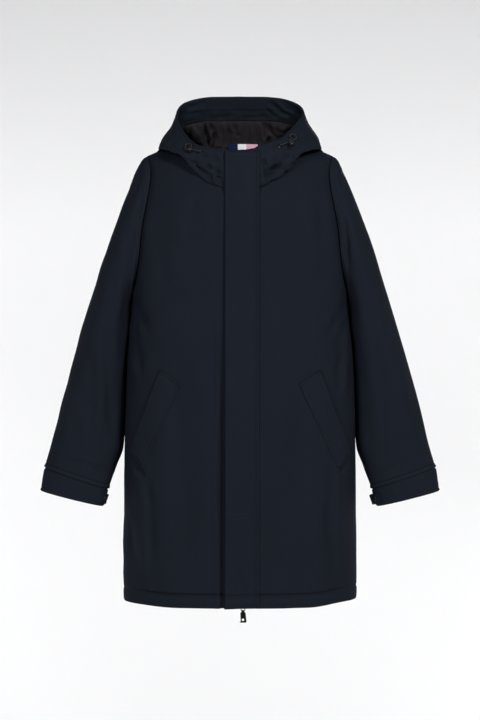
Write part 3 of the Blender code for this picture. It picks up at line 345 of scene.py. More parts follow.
def panelTop(s, facing, edgeX):
    neck = neckFrontRows if facing == atFront else neckBackRows
    p = np.clip(1 - s / neckShare, 0.0, 1.0) * neckEnd(edgeX)
    neckX = smooth(neck, "x", p)
    shoulder = np.clip((s - neckShare) / (1 - neckShare), 0.0, 1.0)
    shoulderX = neckSideX + (shoulderEndX - neckSideX) * shoulder
    onNeck = s < neckShare - 1e-6
    x = np.where(onNeck, neckX, shoulderX)
    z = np.where(onNeck, smooth(neck, "z", p), ridgeZ(shoulderX))
    return x, z


def halfPanel(facing, side, shares, lowRows, rolls, edgeX):
    s = shares
    topX, topZ = panelTop(s, facing, edgeX)
    spread = 1 - (1 - s) ** 1.25
    topU = topX / smooth(torsoRows, "half", topZ)
    levels = [(np.full(len(s), z), 0.0) for z in lowRows]
    for roll in rolls[1:]:
        z = topZ - (topZ - armFullZ) * (1 - math.cos(math.radians(roll)))
        levels.append((z, ease((z - armFullZ) / (topZ - armFullZ)) ** 2))
    rows = []
    for z, share in levels:
        start = edgeX / smooth(torsoRows, "half", z)
        u = start + (edgeShare(z, facing) - start) * spread
        rows.append(torso(u + (topU - u) * share, z, facing))
    points = np.array(rows)
    points[..., 0] *= side
    return points


def neckDirections(points):
    return unit((points - (0, -0.012, 0)) * (-1, -1, 0))


def armholeRing(frontEdge, backEdge):
    return np.concatenate([frontEdge[::-1], backEdge[1:]])


def section(angles, t, side):
    t = np.asarray(t, dtype=float)[:, None]
    outer = spots(sleeveRows, ("outer_x", "outer_z"), t)
    inner = spots(sleeveRows, ("inner_x", "inner_z"), t)
    power = 2 / sleeveSquare
    across = np.sign(np.cos(angles)) * np.abs(np.cos(angles)) ** power
    deep = np.sign(np.sin(angles)) * np.abs(np.sin(angles)) ** power
    plane = (outer + inner) / 2 + (outer - inner) / 2 * across[None, :, None]
    y = smooth(sleeveRows, "middle_y", t) + smooth(sleeveRows, "deep", t) * deep[None, :]
    return np.stack([plane[..., 0] * side, y, plane[..., 1]], axis=-1)


def sleevePoints(ring, t, side):
    top = ring[0]
    under = ring[len(ring) // 2]
    half = (top - under) / 2
    middle = (top + under) / 2
    across = ((ring - middle) @ half) / (half @ half)
    deep = (ring[:, 1] - 0.004) / 0.074
    angles = np.arctan2(deep, across)
    start = section(angles, [0.0], side)
    fade = np.clip(1 - np.asarray(t) / armholeFade, 0, 1)[:, None, None] ** 2
    return section(angles, t, side) + (ring[None] - start) * fade


def ringInward(points):
    middle = points[:, :-1].mean(axis=1, keepdims=True)
    wrapped = np.concatenate([points[:, -2:-1], points, points[:, 1:2]], axis=1)
    return -normalsOf(wrapped, wrapped - middle)[:, 1:-1]


def cuffPlaces(rows):
    start = cuffT + 0.001
    return start + (1 - start) * np.asarray(rows)


def cuffPoints(ring, rows, side):
    points = sleevePoints(ring, cuffPlaces(rows), side)
    return points - ringInward(points) * cuffProud


def cuffSurface(angles, rows, side):
    t = cuffPlaces(rows)
    points = section(np.asarray(angles) - math.pi, t, side)
    middle = section(np.array([0.0, math.pi]), t, side).mean(axis=1, keepdims=True)
    return points, normalsOf(points, points - middle)


def neckSeam(phi):
    size = np.abs(phi)
    front = size >= hoodHalf
    ahead = np.clip((size - hoodHalf) / (1 - hoodHalf), 0, 1)
    behind = np.clip((hoodHalf - size) / hoodHalf, 0, 1)
    x, z = (np.where(front, smooth(neckFrontRows, k, ahead), smooth(neckBackRows, k, behind))
            for k in "xz")
    u = x / smooth(torsoRows, "half", z)
    y = np.where(front, torso(u, z, atFront)[..., 1], torso(u, z, atBack)[..., 1])
    return np.stack([x * np.sign(phi + 1e-12), y, z], axis=-1)


def hoodPaths(phi, count=60):
    # Lines up the hood, from its seam under and round the belly and on to the rim
    size = np.abs(phi)
    sign = np.where(phi < 0, -1.0, 1.0)
    seam = neckSeam(phi)
    belly = spots(hoodRows, ("belly_x", "belly_y", "belly_z"), size)
    rim = spots(hoodRows, ("rim_x", "rim_y", "rim_z"), size)
    belly[:, 0] *= sign
    rim[:, 0] *= sign
    rim[:, 2] += np.where(phi > 0, smooth(hoodRows, "lift", size), 0.0)
    sag = smooth(hoodRows, "sag", size)
    low = np.linspace(0, 1, count)[:, None]
    angle = low * math.pi / 2
    across = np.sin(angle)[..., None]
    under = seam + (belly - seam) * across
    rise = (belly - seam)[:, 2] * (1 - np.cos(angle)) - sag * np.sin(2 * angle)
    under[..., 2] = seam[:, 2] + rise
    lean = ease(low)[..., None]
    over = belly + (rim - belly) * lean
    over[..., 2] = belly[:, 2] + (rim - belly)[:, 2] * low
    paths = np.concatenate([under, over[1:]])
    length = arcs(paths, 0)
    for j in range(len(phi)):
        even = np.linspace(0, length[-1, j], len(paths))
        paths[:, j] = alongLine(paths[:, j], length[:, j], even)
    for _ in range(softening):
        paths[1:-1] = (paths[:-2] + 2 * paths[1:-1] + paths[2:]) / 4
    away = np.linalg.norm(paths - seam, axis=-1)
    floor = bodyTop(paths[..., 0], paths[..., 1]) + hoodClear * ease(away / 0.010)
    floor -= 0.06 * (1 - ease((paths[..., 1] + 0.092) / 0.020))
    paths[..., 2] = np.maximum(paths[..., 2], floor)
    return paths


def hoodPoints(phi, lowShares, facingShares):
    paths = hoodPaths(phi)
    length = arcs(paths, 0)
    edge = length[-1] - facingDeep
    wanted = np.concatenate([np.outer(lowShares, edge),
                             edge + facingDeep * facingShares[:, None]])
    lines = [alongLine(paths[:, j], length[:, j], wanted[:, j]) for j in range(len(phi))]
    return np.stack(lines, axis=1)


def hoodOutward(points):
    return points * (1, 1, 0) - (0, -0.010, 0)


def folds(points, table):
    # Soft uneven troughs and ridges along lines in the plane of X and Z
    x, z = points[..., 0], points[..., 2]
    total = np.zeros(x.shape)
    for x0, z0, x1, z1, bow, width, depth in table[1:]:
        long = math.hypot(x1 - x0, z1 - z0)
        along = ((x - x0) * (x1 - x0) + (z - z0) * (z1 - z0)) / long**2
        inside = np.clip(along, 0.0, 1.0)
        side = ((x - x0) * (z1 - z0) - (z - z0) * (x1 - x0)) / long
        side = side - bow * 4 * inside * (1 - inside)
        t = side / (width * (1 + 0.22 * np.sin(9 * inside + 50 * x0)))
        ends = ease(along / 0.3 + 0.2) * ease((1 - along) / 0.3 + 0.2)
        shape = bell(t, 1) - 0.35 * bell(t - 1.9, 1.1)
        total += depth * shape * ends * (1 + 0.25 * np.sin(11 * inside + 40 * z0))
    return total


def swell(points, size, phase, long=0.16):
    # Slow unevenness of hanging cloth, longer down the cloth than across it
    x, y, z = points[..., 0] + phase, points[..., 1], points[..., 2]
    k = math.tau / long
    first = np.sin(k * x * 1.7 + 1.3 * np.sin(k * z * 0.45) + k * y)
    second = np.sin(k * x * 3.1 + k * z * 0.8 + 2 * phase) * np.sin(k * z * 0.7 - k * y * 2)
    return size * (0.65 * first + 0.35 * second)


def clothGrid(name, points, outward, material, thickness, seam=None, closed=False):
    # A sheet of cloth through a grid of points, its outer face, thickened inward
    rows, columns = points.shape[:2]
    bm = bmesh.new()
    bmesh.ops.create_grid(bm, x_segments=columns - 1, y_segments=rows - 1, size=1)
    mesh = bpy.data.meshes.new(name)
    bm.to_mesh(mesh)
    bm.free()
    mesh.vertices.foreach_set("co", points.astype(np.float32).reshape(-1))
    corners = np.zeros(len(mesh.loops), dtype=np.int32)
    mesh.loops.foreach_get("vertex_index", corners)
    flat = np.stack([arcs(points, 1), arcs(points, 0)], axis=-1).reshape(-1, 2)
    edge = np.ones((rows, columns, 2)) if seam is None else seam
    for layer, values in (("cloth", flat), ("edge", edge.reshape(-1, 2))):
        uv = mesh.uv_layers.new(name=layer)
        uv.data.foreach_set("uv", values[corners].astype(np.float32).reshape(-1))
    mesh.update()
    facing = np.zeros(len(mesh.polygons) * 3)
    mesh.polygons.foreach_get("normal", facing)
    if np.sum(facing.reshape(-1, 3) * outward.reshape(-1, 3)[corners[::4]]) < 0:
        mesh.flip_normals()
    if closed:
        bm = bmesh.new()
        bm.from_mesh(mesh)
        bmesh.ops.remove_doubles(bm, verts=bm.verts[:], dist=1e-6)
        bm.to_mesh(mesh)
        bm.free()
    mesh.shade_smooth()
    obj = addObject(name, mesh, material)
    solid = obj.modifiers.new("Thickness", "SOLIDIFY")
    solid.thickness = thickness
    solid.offset = -1.0
    solid.use_rim = True
    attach(obj, "coat")
    return obj


def fromEdges(points):
    # How far each point of a grid lies from the grid's four sides
    across, down = arcs(points, 1), arcs(points, 0)
    return {"start": across, "end": across[:, -1:] - across, "low": down, "top": down[-1:] - down}


def nearEdge(points, sides=("start", "end", "low", "top")):
    # How near each point is to a sewn edge and to a stitched line, 1 on it, 0 away from it
    far = fromEdges(points)
    least = np.minimum(1.0, np.min([far[side] for side in sides], axis=0))
    return np.stack([np.exp(-least / 0.010), np.exp(-least / 0.0025)], axis=-1)


def leastEdge(points):
    return np.min(list(fromEdges(points).values()), axis=0)


def rowAt(values, wanted):
    return int(np.argmin(np.abs(np.asarray(values) - wanted)))


# Sewing: every stitched line is kept here and becomes thread at the end
seams = {}


def sew(group, points, normals):
    seams.setdefault(group, []).append((points + normals * 0.0001, normals))


def sewRow(group, points, normals, places, wanted):
    row = rowAt(places, wanted)
    sew(group, points[row], normals[row])


def addCurve(name, lines, radius, material, resolution, caps=False):
    curve = bpy.data.curves.new(name, "CURVE")
    curve.dimensions = "3D"
    curve.bevel_depth = radius
    curve.bevel_resolution = resolution
    curve.use_fill_caps = caps
    for line in lines:
        spline = curve.splines.new("POLY")
        spline.points.add(len(line) - 1)
        for point, spot in zip(spline.points, line):
            point.co = (*spot, 1.0)
    obj = addObject(name, curve, material)
    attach(obj, "coat")
    return obj


stitch = {"pitch": 0.0034, "long": 0.0026, "thick": 0.00042, "sink": 0.0006}


def makeThread(group):
    lines = []
    for points, normals in seams[group]:
        length = arcs(points, 0)
        for start in np.arange(stitch["pitch"], length[-1] - stitch["pitch"], stitch["pitch"]):
            at = start + stitch["long"] * np.array([0.0, 0.2, 0.8, 1.0])
            line = alongLine(points, length, at)
            line[[0, 3]] -= alongLine(normals, length, at)[[0, 3]] * stitch["sink"]
            lines.append(line)
    addCurve("stitches_" + group, lines, stitch["thick"] / 2, threadMaterial, 0)


# Materials

# Each noise's scale, detail, roughness and strength, in metres where it lifts the cloth
noises = {"grain": (700, 2, 0.5, 0.000016), "crumple": (26, 4, 0.55, 0.0009),
          "pucker": (150, 1, 0.5, 0.0011), "slowTone": (5, 3, 0.5, 0.22),
          "fineTone": (420, 2, 0.5, 0.16), "gloss": (9, 3, 0.5, 0.16),
          "hardTone": (300, 3, 0.5, 0.5), "hardGloss": (900, 3, 0.5, 0.25),
          "scratches": (1500, 2, 0.5, 0.00002)}
clothLook = {"twill": 0.0007, "weft": 1.6, "weaveHigh": 0.000008, "twillTone": 0.03,
             "worn": 0.10, "bend": 1.09}


def link(value, socket):
    if isinstance(value, (int, float, tuple)):
        socket.default_value = value
    else:
        socket.id_data.links.new(value, socket)


def reckon(operation, a, b=0.0):
    node = a.id_data.nodes.new("ShaderNodeMath")
    node.operation = operation
    link(a, node.inputs[0])
    link(b, node.inputs[1])
    return node.outputs[0]


def add(first, *others):
    for other in others:
        first = reckon("ADD", first, other)
    return first


def times(a, b):
    return reckon("MULTIPLY", a, b)


def waves(a, pitch):
    return reckon("SINE", times(a, math.tau / pitch))


def noiseOf(place, name):
    node = place.id_data.nodes.new("ShaderNodeTexNoise")
    *settings, size = noises[name]
    for label, value in zip(("Scale", "Detail", "Roughness"), settings):
        node.inputs[label].default_value = value
    link(place, node.inputs["Vector"])
    return times(reckon("SUBTRACT", node.outputs["Fac"], 0.5), size)


def axes(vector):
    node = vector.id_data.nodes.new("ShaderNodeSeparateXYZ")
    link(vector, node.inputs[0])
    return node.outputs


def makeClothGroup():
    # Twill, grain, soft crumple and the puckers beside seams
    group = bpy.data.node_groups.new("clothDetail", "ShaderNodeTree")
    for label, kind in (("Flat", "Vector"), ("Edge", "Vector"), ("Place", "Vector"),
                        ("Crumple", "Float")):
        group.interface.new_socket(label, in_out="INPUT", socket_type="NodeSocket" + kind)
    for label in ("Tone", "Rough", "Height"):
        group.interface.new_socket(label, in_out="OUTPUT", socket_type="NodeSocketFloat")
    entry = group.nodes.new("NodeGroupInput").outputs
    leave = group.nodes.new("NodeGroupOutput").inputs
    flat, edge, place = axes(entry["Flat"]), axes(entry["Edge"]), entry["Place"]
    twill = waves(add(flat[0], flat[1]), clothLook["twill"])
    weft = waves(flat[1], clothLook["twill"] / clothLook["weft"])
    weave = times(add(twill, weft), clothLook["weaveHigh"])
    rumple = times(noiseOf(place, "crumple"), entry["Crumple"])
    pucker = times(noiseOf(place, "pucker"), edge[0])
    link(add(weave, noiseOf(place, "grain"), rumple, pucker), leave["Height"])
    worn = times(edge[1], clothLook["worn"])
    tone = add(noiseOf(place, "slowTone"), noiseOf(place, "fineTone"))
    link(add(tone, times(twill, clothLook["twillTone"]), worn, 1.0), leave["Tone"])
    link(add(noiseOf(place, "gloss"), times(worn, 0.5)), leave["Rough"])
    return group


clothGroup = makeClothGroup()


def startMaterial(name):
    material = bpy.data.materials.new(name)
    material.use_nodes = True
    tree = material.node_tree
    shader = tree.nodes["Principled BSDF"].inputs
    return material, shader, tree.nodes.new("ShaderNodeTexCoord").outputs["Object"]


def tint(colour, amount, shader):
    mix = amount.id_data.nodes.new("ShaderNodeVectorMath")
    mix.operation = "SCALE"
    link(amount, mix.inputs["Scale"])
    link(colour, mix.inputs[0])
    link(mix.outputs[0], shader["Base Color"])


def bump(height, shader):
    node = height.id_data.nodes.new("ShaderNodeBump")
    node.inputs["Strength"].default_value = 1.0
    node.inputs["Distance"].default_value = 1.0
    link(height, node.inputs["Height"])
    link(node.outputs["Normal"], shader["Normal"])


def clothMaterial(name, colour, roughness, crumple, specular=0.35):
    material, shader, place = startMaterial(name)
    node = material.node_tree.nodes.new("ShaderNodeGroup")
    node.node_tree = clothGroup
    for label, layer in (("Flat", "cloth"), ("Edge", "edge")):
        uv = material.node_tree.nodes.new("ShaderNodeUVMap")
        uv.uv_map = layer
        link(uv.outputs["UV"], node.inputs[label])
    link(place, node.inputs["Place"])
    link(crumple, node.inputs["Crumple"])
    tint(colour, node.outputs["Tone"], shader)
    link(add(node.outputs["Rough"], roughness), shader["Roughness"])
    link(clothLook["bend"], shader["IOR"])
    link(specular, shader["Specular IOR Level"])
    bump(node.outputs["Height"], shader)
    return material


def hardMaterial(name, colour, roughness, metallic):
    material, shader, place = startMaterial(name)
    tint(colour, add(noiseOf(place, "hardTone"), 1.0), shader)
    link(add(noiseOf(place, "hardGloss"), roughness), shader["Roughness"])
    link(metallic, shader["Metallic"])
    bump(noiseOf(place, "scratches"), shader)
    return material


def cordMaterial(name, colour, pitch):
    # A braid: two sets of slanting strands round and along the cord
    material, shader, place = startMaterial(name)
    x, _, z = axes(place)
    braid = reckon("MAXIMUM", waves(add(x, z), pitch), waves(reckon("SUBTRACT", x, z), pitch))
    tint(colour, add(times(braid, 0.25), 1.0), shader)
    link(0.7, shader["Roughness"])
    bump(times(braid, 0.00012), shader)
    return material


def stripedMaterial(name, stripes, edges):
    # Woven stripes that change at places along X
    material, shader, place = startMaterial(name)
    x = axes(place)[0]
    colour = (*stripes[0], 1.0)
    for stripe, edge in zip(stripes[1:], edges):
        mix = material.node_tree.nodes.new("ShaderNodeMix")
        mix.data_type = "RGBA"
        link(reckon("GREATER_THAN", x, edge), mix.inputs[0])
        link(colour, mix.inputs[6])
        link((*stripe, 1.0), mix.inputs[7])
        colour = mix.outputs[2]
    ribs = waves(x, 0.0007)
    tint(colour, add(times(ribs, 0.06), 0.97), shader)
    link(0.75, shader["Roughness"])
    link(0.12, shader["Specular IOR Level"])
    bump(times(ribs, 0.00006), shader)
    return material


shellColour = (0.0108, 0.0136, 0.0200)
shellCloth = clothMaterial("shell_cloth", shellColour, 0.72, 1.0)
facingCloth = clothMaterial("facing_cloth", shellColour, 0.70, 1.2)
liningCloth = clothMaterial("lining_cloth", (0.0185, 0.0168, 0.0200), 0.46, 1.6, 0.6)
tapeCloth = clothMaterial("tape_cloth", (0.008, 0.009, 0.011), 0.75, 0.2)
threadMaterial = hardMaterial("thread", (0.0065, 0.008, 0.0115), 0.70, 0.0)
gunMetal = hardMaterial("gun_metal", (0.042, 0.041, 0.040), 0.30, 1.0)
snapMetal = hardMaterial("snap_metal", (0.055, 0.055, 0.058), 0.34, 1.0)
pullMetal = hardMaterial("pull_metal", (0.022, 0.020, 0.018), 0.36, 1.0)
blackPlastic = hardMaterial("black_plastic", (0.012, 0.012, 0.013), 0.28, 0.0)
cordCloth = cordMaterial("cord_cloth", (0.011, 0.0125, 0.0155), 0.0009)
ribbonCloth = stripedMaterial(
    "ribbon_stripes", ((0.0045, 0.0130, 0.058), (0.83, 0.83, 0.85), (0.68, 0.38, 0.45)),
    (-0.0045, 0.0130))


# The hood, first because the cords lie on it

hoodGrid = {"low": 64, "high": 26, "columns": 164}
hoodEdgeShares = np.linspace(0.0, 0.98, hoodGrid["low"])
hoodBandShares = np.linspace(0.0, 1.0, hoodGrid["high"])

# How the cloth spreads over the shoulder beside the neck, how it rolls over its seam, and
# how its cord's channel draws it up
hoodSpread = {"far": 0.038, "long": 0.013, "phi": 0.43, "wide": 0.12, "out": 0.030,
              "down": 0.015, "besideFlap": 0.0045}
hoodRoll = {"long": 0.018, "high": 0.0050, "flapEdge": 0.026, "fade": 0.02}
hoodChannel = {"fromRim": 0.021, "wide": 0.0016, "deep": 0.0009, "gather": 0.0007}

# Creases of the hood's front, as lines seen from the front, finer than the solid's own
hoodFine = thousandths(
    foldColumns,
    (-132, -4, -84, -22, 3, 5.2, -3.9), (-98, -18, -50, -56, 4, 5.6, -8.5),
    (-86, -36, -44, -66, 3, 4.7, -5.9), (-74, -6, -36, -20, -2, 4.9, -4.3),
    (-68, -22, -34, -46, 3, 5.2, -7.6), (-46, -46, -32, -70, 1, 4.5, -5.9),
    (-92, 6, -62, -4, 2, 3.8, -1.7), (-112, 30, -102, 4, 2, 5.6, -1.9),
    (-142, 22, -112, 2, 2, 6.7, -2.9), (42, -12, 52, -50, -3, 4.9, -7.6),
    (50, -60, 84, -22, -4, 5.2, -9.3), (56, -40, 78, -12, 3, 4.5, -6.8),
    (62, -56, 90, -34, -2, 4.5, -5.1), (60, -20, 98, -4, -3, 4.9, -4.3),
    (44, 0, 80, 4, -2, 4.5, 2), (70, 12, 104, 10, 2, 4.5, -3.1),
    (100, -8, 134, -2, 3, 5.6, -3.7), (114, 42, 118, 12, -2, 5.6, -1.9))
# Creases round the back of the hood, seen along Y
hoodBehind = thousandths(
    foldColumns,
    (-120, 80, -60, 20, 10, 10, -3), (-50, 110, -30, 10, -4, 9, -2.4),
    (40, 100, 22, 0, 4, 10, -2.6), (125, 75, 70, 10, -10, 9, -2.8),
    (-90, 0, 80, -6, -12, 11, -3))


def hoodPlaces():
    last = neckEnd(zipX + zipClear)
    half = hoodGrid["columns"]
    right = -np.linspace(1.0, 0.0, half + 1)
    ahead = hoodHalf + (1 - hoodHalf) * last
    left = np.linspace(0.0, ahead, half + 1)[1:]
    return np.concatenate([right, left]), half


def makeHoodShell():
    phi, middle = hoodPlaces()
    outer = hoodPoints(phi, hoodEdgeShares, hoodBandShares)
    outer[:, -1, 0] = zipX + zipClear
    spread = bell(arcs(outer, 0) - hoodSpread["far"], hoodSpread["long"])
    spread *= bell(np.abs(phi) - hoodSpread["phi"], hoodSpread["wide"])
    outer[..., 0] += np.sign(outer[..., 0]) * hoodSpread["out"] * spread
    outer[..., 2] -= hoodSpread["down"] * spread
    # Behind the flap the left half's rim runs level with the flap's top
    level = ease((0.040 - outer[..., 0]) / 0.012) * ease((phi - 0.80) / 0.04)
    up = arcs(outer, 0)
    outer[..., 2] -= hoodSpread["besideFlap"] * level * up / up[-1:]
    n = normalsOf(outer, hoodOutward(outer))
    up = arcs(outer, 0)
    fromRim = up[-1:] - up
    ahead = ease((-0.03 - outer[..., 1]) / 0.02)
    behind = ease((outer[..., 1] - 0.02) / 0.03)
    height = folds(outer, hoodFine) * ahead + folds(outer, hoodBehind) * behind
    height = (height + swell(outer, 0.0006, 0.31, 0.09)) * ease(up / 0.012)
    height += folds(outer, hoodCreases) * ahead
    roll = np.sin(math.pi * np.clip(up / hoodRoll["long"], 0, 1))
    besideFlap = ease((np.abs(outer[..., 0]) - hoodRoll["flapEdge"]) / hoodRoll["fade"])
    height += hoodRoll["high"] * np.abs(roll) ** 0.7 * ahead * besideFlap
    channel = bell(fromRim - hoodChannel["fromRim"], hoodChannel["wide"])
    height -= hoodChannel["deep"] * channel
    gather = np.sin(phi * 95 + 2 * np.sin(phi * 23)) * ease((np.abs(phi) - 0.50) / 0.2)
    height += hoodChannel["gather"] * gather * bell(fromRim - 0.012, 0.010)
    points = outer + n * height[..., None]
    inward = -n
    inward[0] = unit(neckDirections(outer[0]) + (0, 0, 0.8))
    inward[-1] = unit((outer[-1] - (0, -0.02, 0)) * (-1, -1, 0))
    points[0] += bodyNormals(outer[0]) * 2 * seamGap
    out = normalsOf(points, hoodOutward(points))
    seam = nearEdge(points, ("low",))
    seam[..., 1] = np.maximum(seam[..., 1], channel)
    for side, name in ((-1, "hood_right"), (1, "hood_left")):
        span = slice(0, middle + 1) if side < 0 else slice(middle, None)
        shift = np.array([side * seamGap / 2, 0, 0])
        obj = clothGrid(name + "_cloth", points[:, span] + shift, out[:, span],
                        shellCloth, shellWall, seam[:, span])
        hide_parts(name)
        hoods.append(obj)
    sewRow("hood", points, out, fromRim[:, middle], hoodChannel["fromRim"])
    sew("hood", points[3], out[3])
    for beside in (-2, 2):
        sew("hood", points[3:, middle + beside], out[3:, middle + beside])
    return phi, points, inward


hoods = []
hoodPhi, hoodSkin, hoodInward = makeHoodShell()
print("hood done")


# The facing turned in under the rim, and the lining from there down to the neck

# Gathers of the lining at the back of the neck, as lines seen from the front
liningGathers = thousandths(
    foldColumns,
    (-72, 88, -64, 30, 2, 4.2, 11.5), (-62, 90, -50, 50, 2, 3.3, 10.2),
    (-50, 64, -60, 34, 1, 3.1, 7.6), (-38, 88, -34, 30, 1, 2.8, 5.9),
    (-26, 88, -22, 30, -1, 2.8, 5.9), (-14, 84, -3, 54, 1, 2.9, 6.8),
    (10, 84, 12, 40, 2, 3.1, 2.2), (30, 82, 34, 36, 1, 3.3, 3.4),
    (44, 90, 62, 34, -3, 4.6, 11.5), (58, 84, 70, 54, 2, 3.3, 10.2),
    (66, 56, 50, 34, 1, 3.1, 6.8), (-118, 88, -108, 46, 4, 6.4, 11.5),
    (110, 92, 102, 62, -3, 6.4, 11.5), (-92, 80, -84, 40, 3, 10.1, -6.8),
    (84, 86, 80, 56, -3, 9.2, -6.8), (-104, 44, -76, 26, 3, 4.6, 5.1),
    (104, 50, 78, 30, -3, 4.6, 5.1))
facingFolds = thousandths(
    foldColumns,
    (58, 124, 104, 94, 3, 4.4, 4.4), (74, 134, 118, 102, 3, 4.8, 3.3),
    (50, 112, 80, 92, 2, 4, 2.2), (88, 120, 126, 92, 2, 4.4, 2.8),
    (-112, 108, -68, 124, 2, 5.1, 2.4), (-126, 96, -80, 104, 2, 4.6, 2),
    (-60, 92, -10, 98, 1, 4, 1.4), (-20, 108, 44, 104, 1, 5.5, 1.2),
    (0, 94, 60, 96, 1, 3.7, 1.4))
rimTurns = np.radians(np.linspace(0, 165, 7))
facingShape = {"thick": 0.0011, "rimRise": 0.62}
# How the lining stands off the shell and its seam, its fine ripple, and how far its folds go
liningShape = {"apart": 0.0014, "overSeam": 0.0048, "ripple": 0.0011, "swell": 0.0012,
               "in": -0.009, "out": 0.0115}


def makeHoodInside(phi, shell, inward):
    rows = len(hoodEdgeShares)
    behindTape = frontExtra * ease((np.abs(phi) - 0.74) / 0.14)[:, None]
    offset = shellWall + 2 * seamGap + behindTape
    outer = shell[rows:] + inward[rows:] * offset
    inner = outer + inward[rows:] * thinWall
    behind = ease((inner[..., 1] + 0.01) / 0.03)
    inner = inner - inward[rows:] * (folds(inner, facingFolds) * behind)[..., None]
    # The fold over the rim, from the shell's outer face to the facing's inner face
    radius = (offset + thinWall) / 2
    up = np.array([0, 0, 1.0])
    away = inward[-1] * radius
    rise = up * radius * facingShape["rimRise"]
    roll = [shell[-1] + away * (1 - math.cos(a)) + rise * math.sin(a) for a in rimTurns[::-1]]
    band = np.concatenate([inner[:-1], np.array(roll)])
    turned = [-inward[-1] * math.cos(a) + up * math.sin(a) for a in rimTurns[::-1]]
    turned = np.concatenate([inward[rows:-1], np.array(turned)])
    seam = nearEdge(band, ("start", "low"))
    obj = clothGrid("hood_facing_cloth", band, turned, facingCloth, facingShape["thick"], seam)
    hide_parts("hood_facing")
    sew("hood", band[2], turned[2])

    extra = offset + liningShape["apart"]
    path = shell[:rows + 1] + inward[:rows + 1] * extra
    share = np.append(hoodEdgeShares, 1.0)[:, None]
    start = shell[0] + neckDirections(shell[0]) * extra + (0, 0, liningShape["overSeam"])
    path += (start - path[0]) * (1 - ease(share / 0.3))[..., None]
    end = inner[0] + inward[rows] * 0.0004
    path += (end - path[-1]) * ease((share - 0.86) / 0.14)[..., None]
    chord = path[0] + (path[-1] - path[0]) * share[..., None]
    taut = smooth(liningRows, "taut", np.abs(phi))
    for centre, width, depth in liningFolds[1:]:
        taut = taut + depth * bell(phi - centre, width)
    slack = (1 - np.clip(taut, 0.0, 1.0)) * np.sin(math.pi * share) ** 0.8
    cloth = chord + (path - chord) * slack[..., None]
    away = -normalsOf(cloth, inward[:rows + 1])
    loose = np.sin(math.pi * share) ** 0.35
    behind = ease((cloth[..., 1] + 0.03) / 0.03)
    sink = folds(cloth, liningGathers) * behind
    wave = np.sin(phi * 150 + 3 * np.sin(phi * 31) + 2 * share * np.sin(phi * 17))
    sink += liningShape["ripple"] * wave + swell(cloth, liningShape["swell"], 0.77, 0.05)
    cloth = cloth + away * np.clip(sink * loose, liningShape["in"], liningShape["out"])[..., None]
    obj = clothGrid("hood_lining_cloth", cloth, -away, liningCloth, liningWall,
                    nearEdge(cloth, ("low", "top")))
    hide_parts("hood_lining")


makeHoodInside(hoodPhi, hoodSkin, hoodInward)
print("hood inside done")


# The body's fronts and back

panelGrid = {"columns": 85, "lowStep": 0.0044, "armRows": 26, "rolls": 56}
hemSewn = 0.0255
hemRows = np.concatenate([np.linspace(0, 0.004, 5), np.linspace(0.0065, 0.022, 7),
                          np.linspace(0.0235, 0.0275, 5), np.linspace(0.030, 0.040, 4)])

# Drapes and creases of the fronts, as lines seen from the front
frontFolds = thousandths(
    foldColumns,
    (-178, -628, -168, -790, 4, 12, -3.8), (-190, -640, -186, -850, -4, 9, 3),
    (-214, -700, -212, -850, 0, 9, -4.1), (-160, -66, -146, -300, 4, 20, -3.2),
    (-84, -78, -96, -180, 3, 11, -2.4), (-48, -96, -36, -290, 2, 12, -1.9),
    (-116, -360, -104, -830, 8, 22, -3.2), (-66, -440, -72, -800, -4, 18, 2.2),
    (-208, -280, -176, -352, 4, 9, -3.2), (-206, -310, -190, -440, 5, 9, -3),
    (-138, -425, -120, -470, 2, 6, -1.4), (-216, -586, -182, -634, 2, 4.4, -4.4),
    (214, -590, 186, -628, -2, 4.4, -3.4), (191, -600, 202, -815, 4, 9, 3.5),
    (172, -655, 186, -850, 5, 12, -3.5), (158, -56, 150, -290, -4, 18, -3),
    (116, -156, 108, -780, -8, 26, -3.2), (210, -330, 205, -480, 2, 8, 3.2),
    (64, -90, 72, -300, 3, 13, -1.9), (60, -520, 66, -840, -3, 16, -1.9),
    (208, -282, 172, -356, -4, 9, -3.2), (206, -312, 188, -444, -5, 9, -2.7),
    (-33, -80, -33, -940, 0, 3.6, -3.6), (-34.5, -400, -34.5, -1000, 0, 5.2, -6.2))
# Drapes of the back, seen along Y
backFolds = thousandths(
    foldColumns,
    (-120, -50, -98, -420, 8, 24, -3.9), (126, -60, 100, -430, -8, 24, -3.9),
    (-30, -120, -24, -800, 6, 26, -3.1), (52, -200, 46, -840, -6, 24, -3.4),
    (-150, -420, -140, -850, 6, 20, -3.9), (160, -440, 152, -850, -6, 18, -3.9),
    (-206, -290, -168, -370, 4, 9, -3.1), (206, -288, 166, -372, -4, 9, -3.1),
    (-200, -330, -186, -470, 4, 10, -2.9), (202, -330, 188, -468, -4, 10, -2.9),
    (-80, 4, 78, 2, -10, 8, -2.3), (-214, -620, -208, -850, 0, 9, 3.1),
    (213, -640, 208, -850, 0, 9, 3.1))


# A double turned hem: full between its fold and its stitching
hemLook = {"full": 0.0019, "groove": 0.0036, "grooveWide": 0.0022, "fold": 0.0016,
           "foldTall": 0.004}


def hemShape(z):
    up = z - hemZ
    full = hemLook["full"] * np.sin(math.pi * np.clip(up / hemSewn, 0, 1)) ** 0.7
    groove = hemLook["groove"] * bell(up - hemSewn, hemLook["grooveWide"])
    return full - groove - hemLook["fold"] * (1 - np.clip(up / hemLook["foldTall"], 0, 1)) ** 2


def panelHeight(points, table, size, phase, topZ):
    height = folds(points, table) + swell(points, size, phase)
    height *= ease((topZ - points[..., 2]) / 0.06)
    beside = ease((np.abs(points[..., 0]) - 0.17) / 0.04)
    return height + hemShape(points[..., 2]) * (1 - 0.6 * beside)


def frontHeight(points):
    return panelHeight(points, frontFolds, 0.0011, 0.13, 0.010)


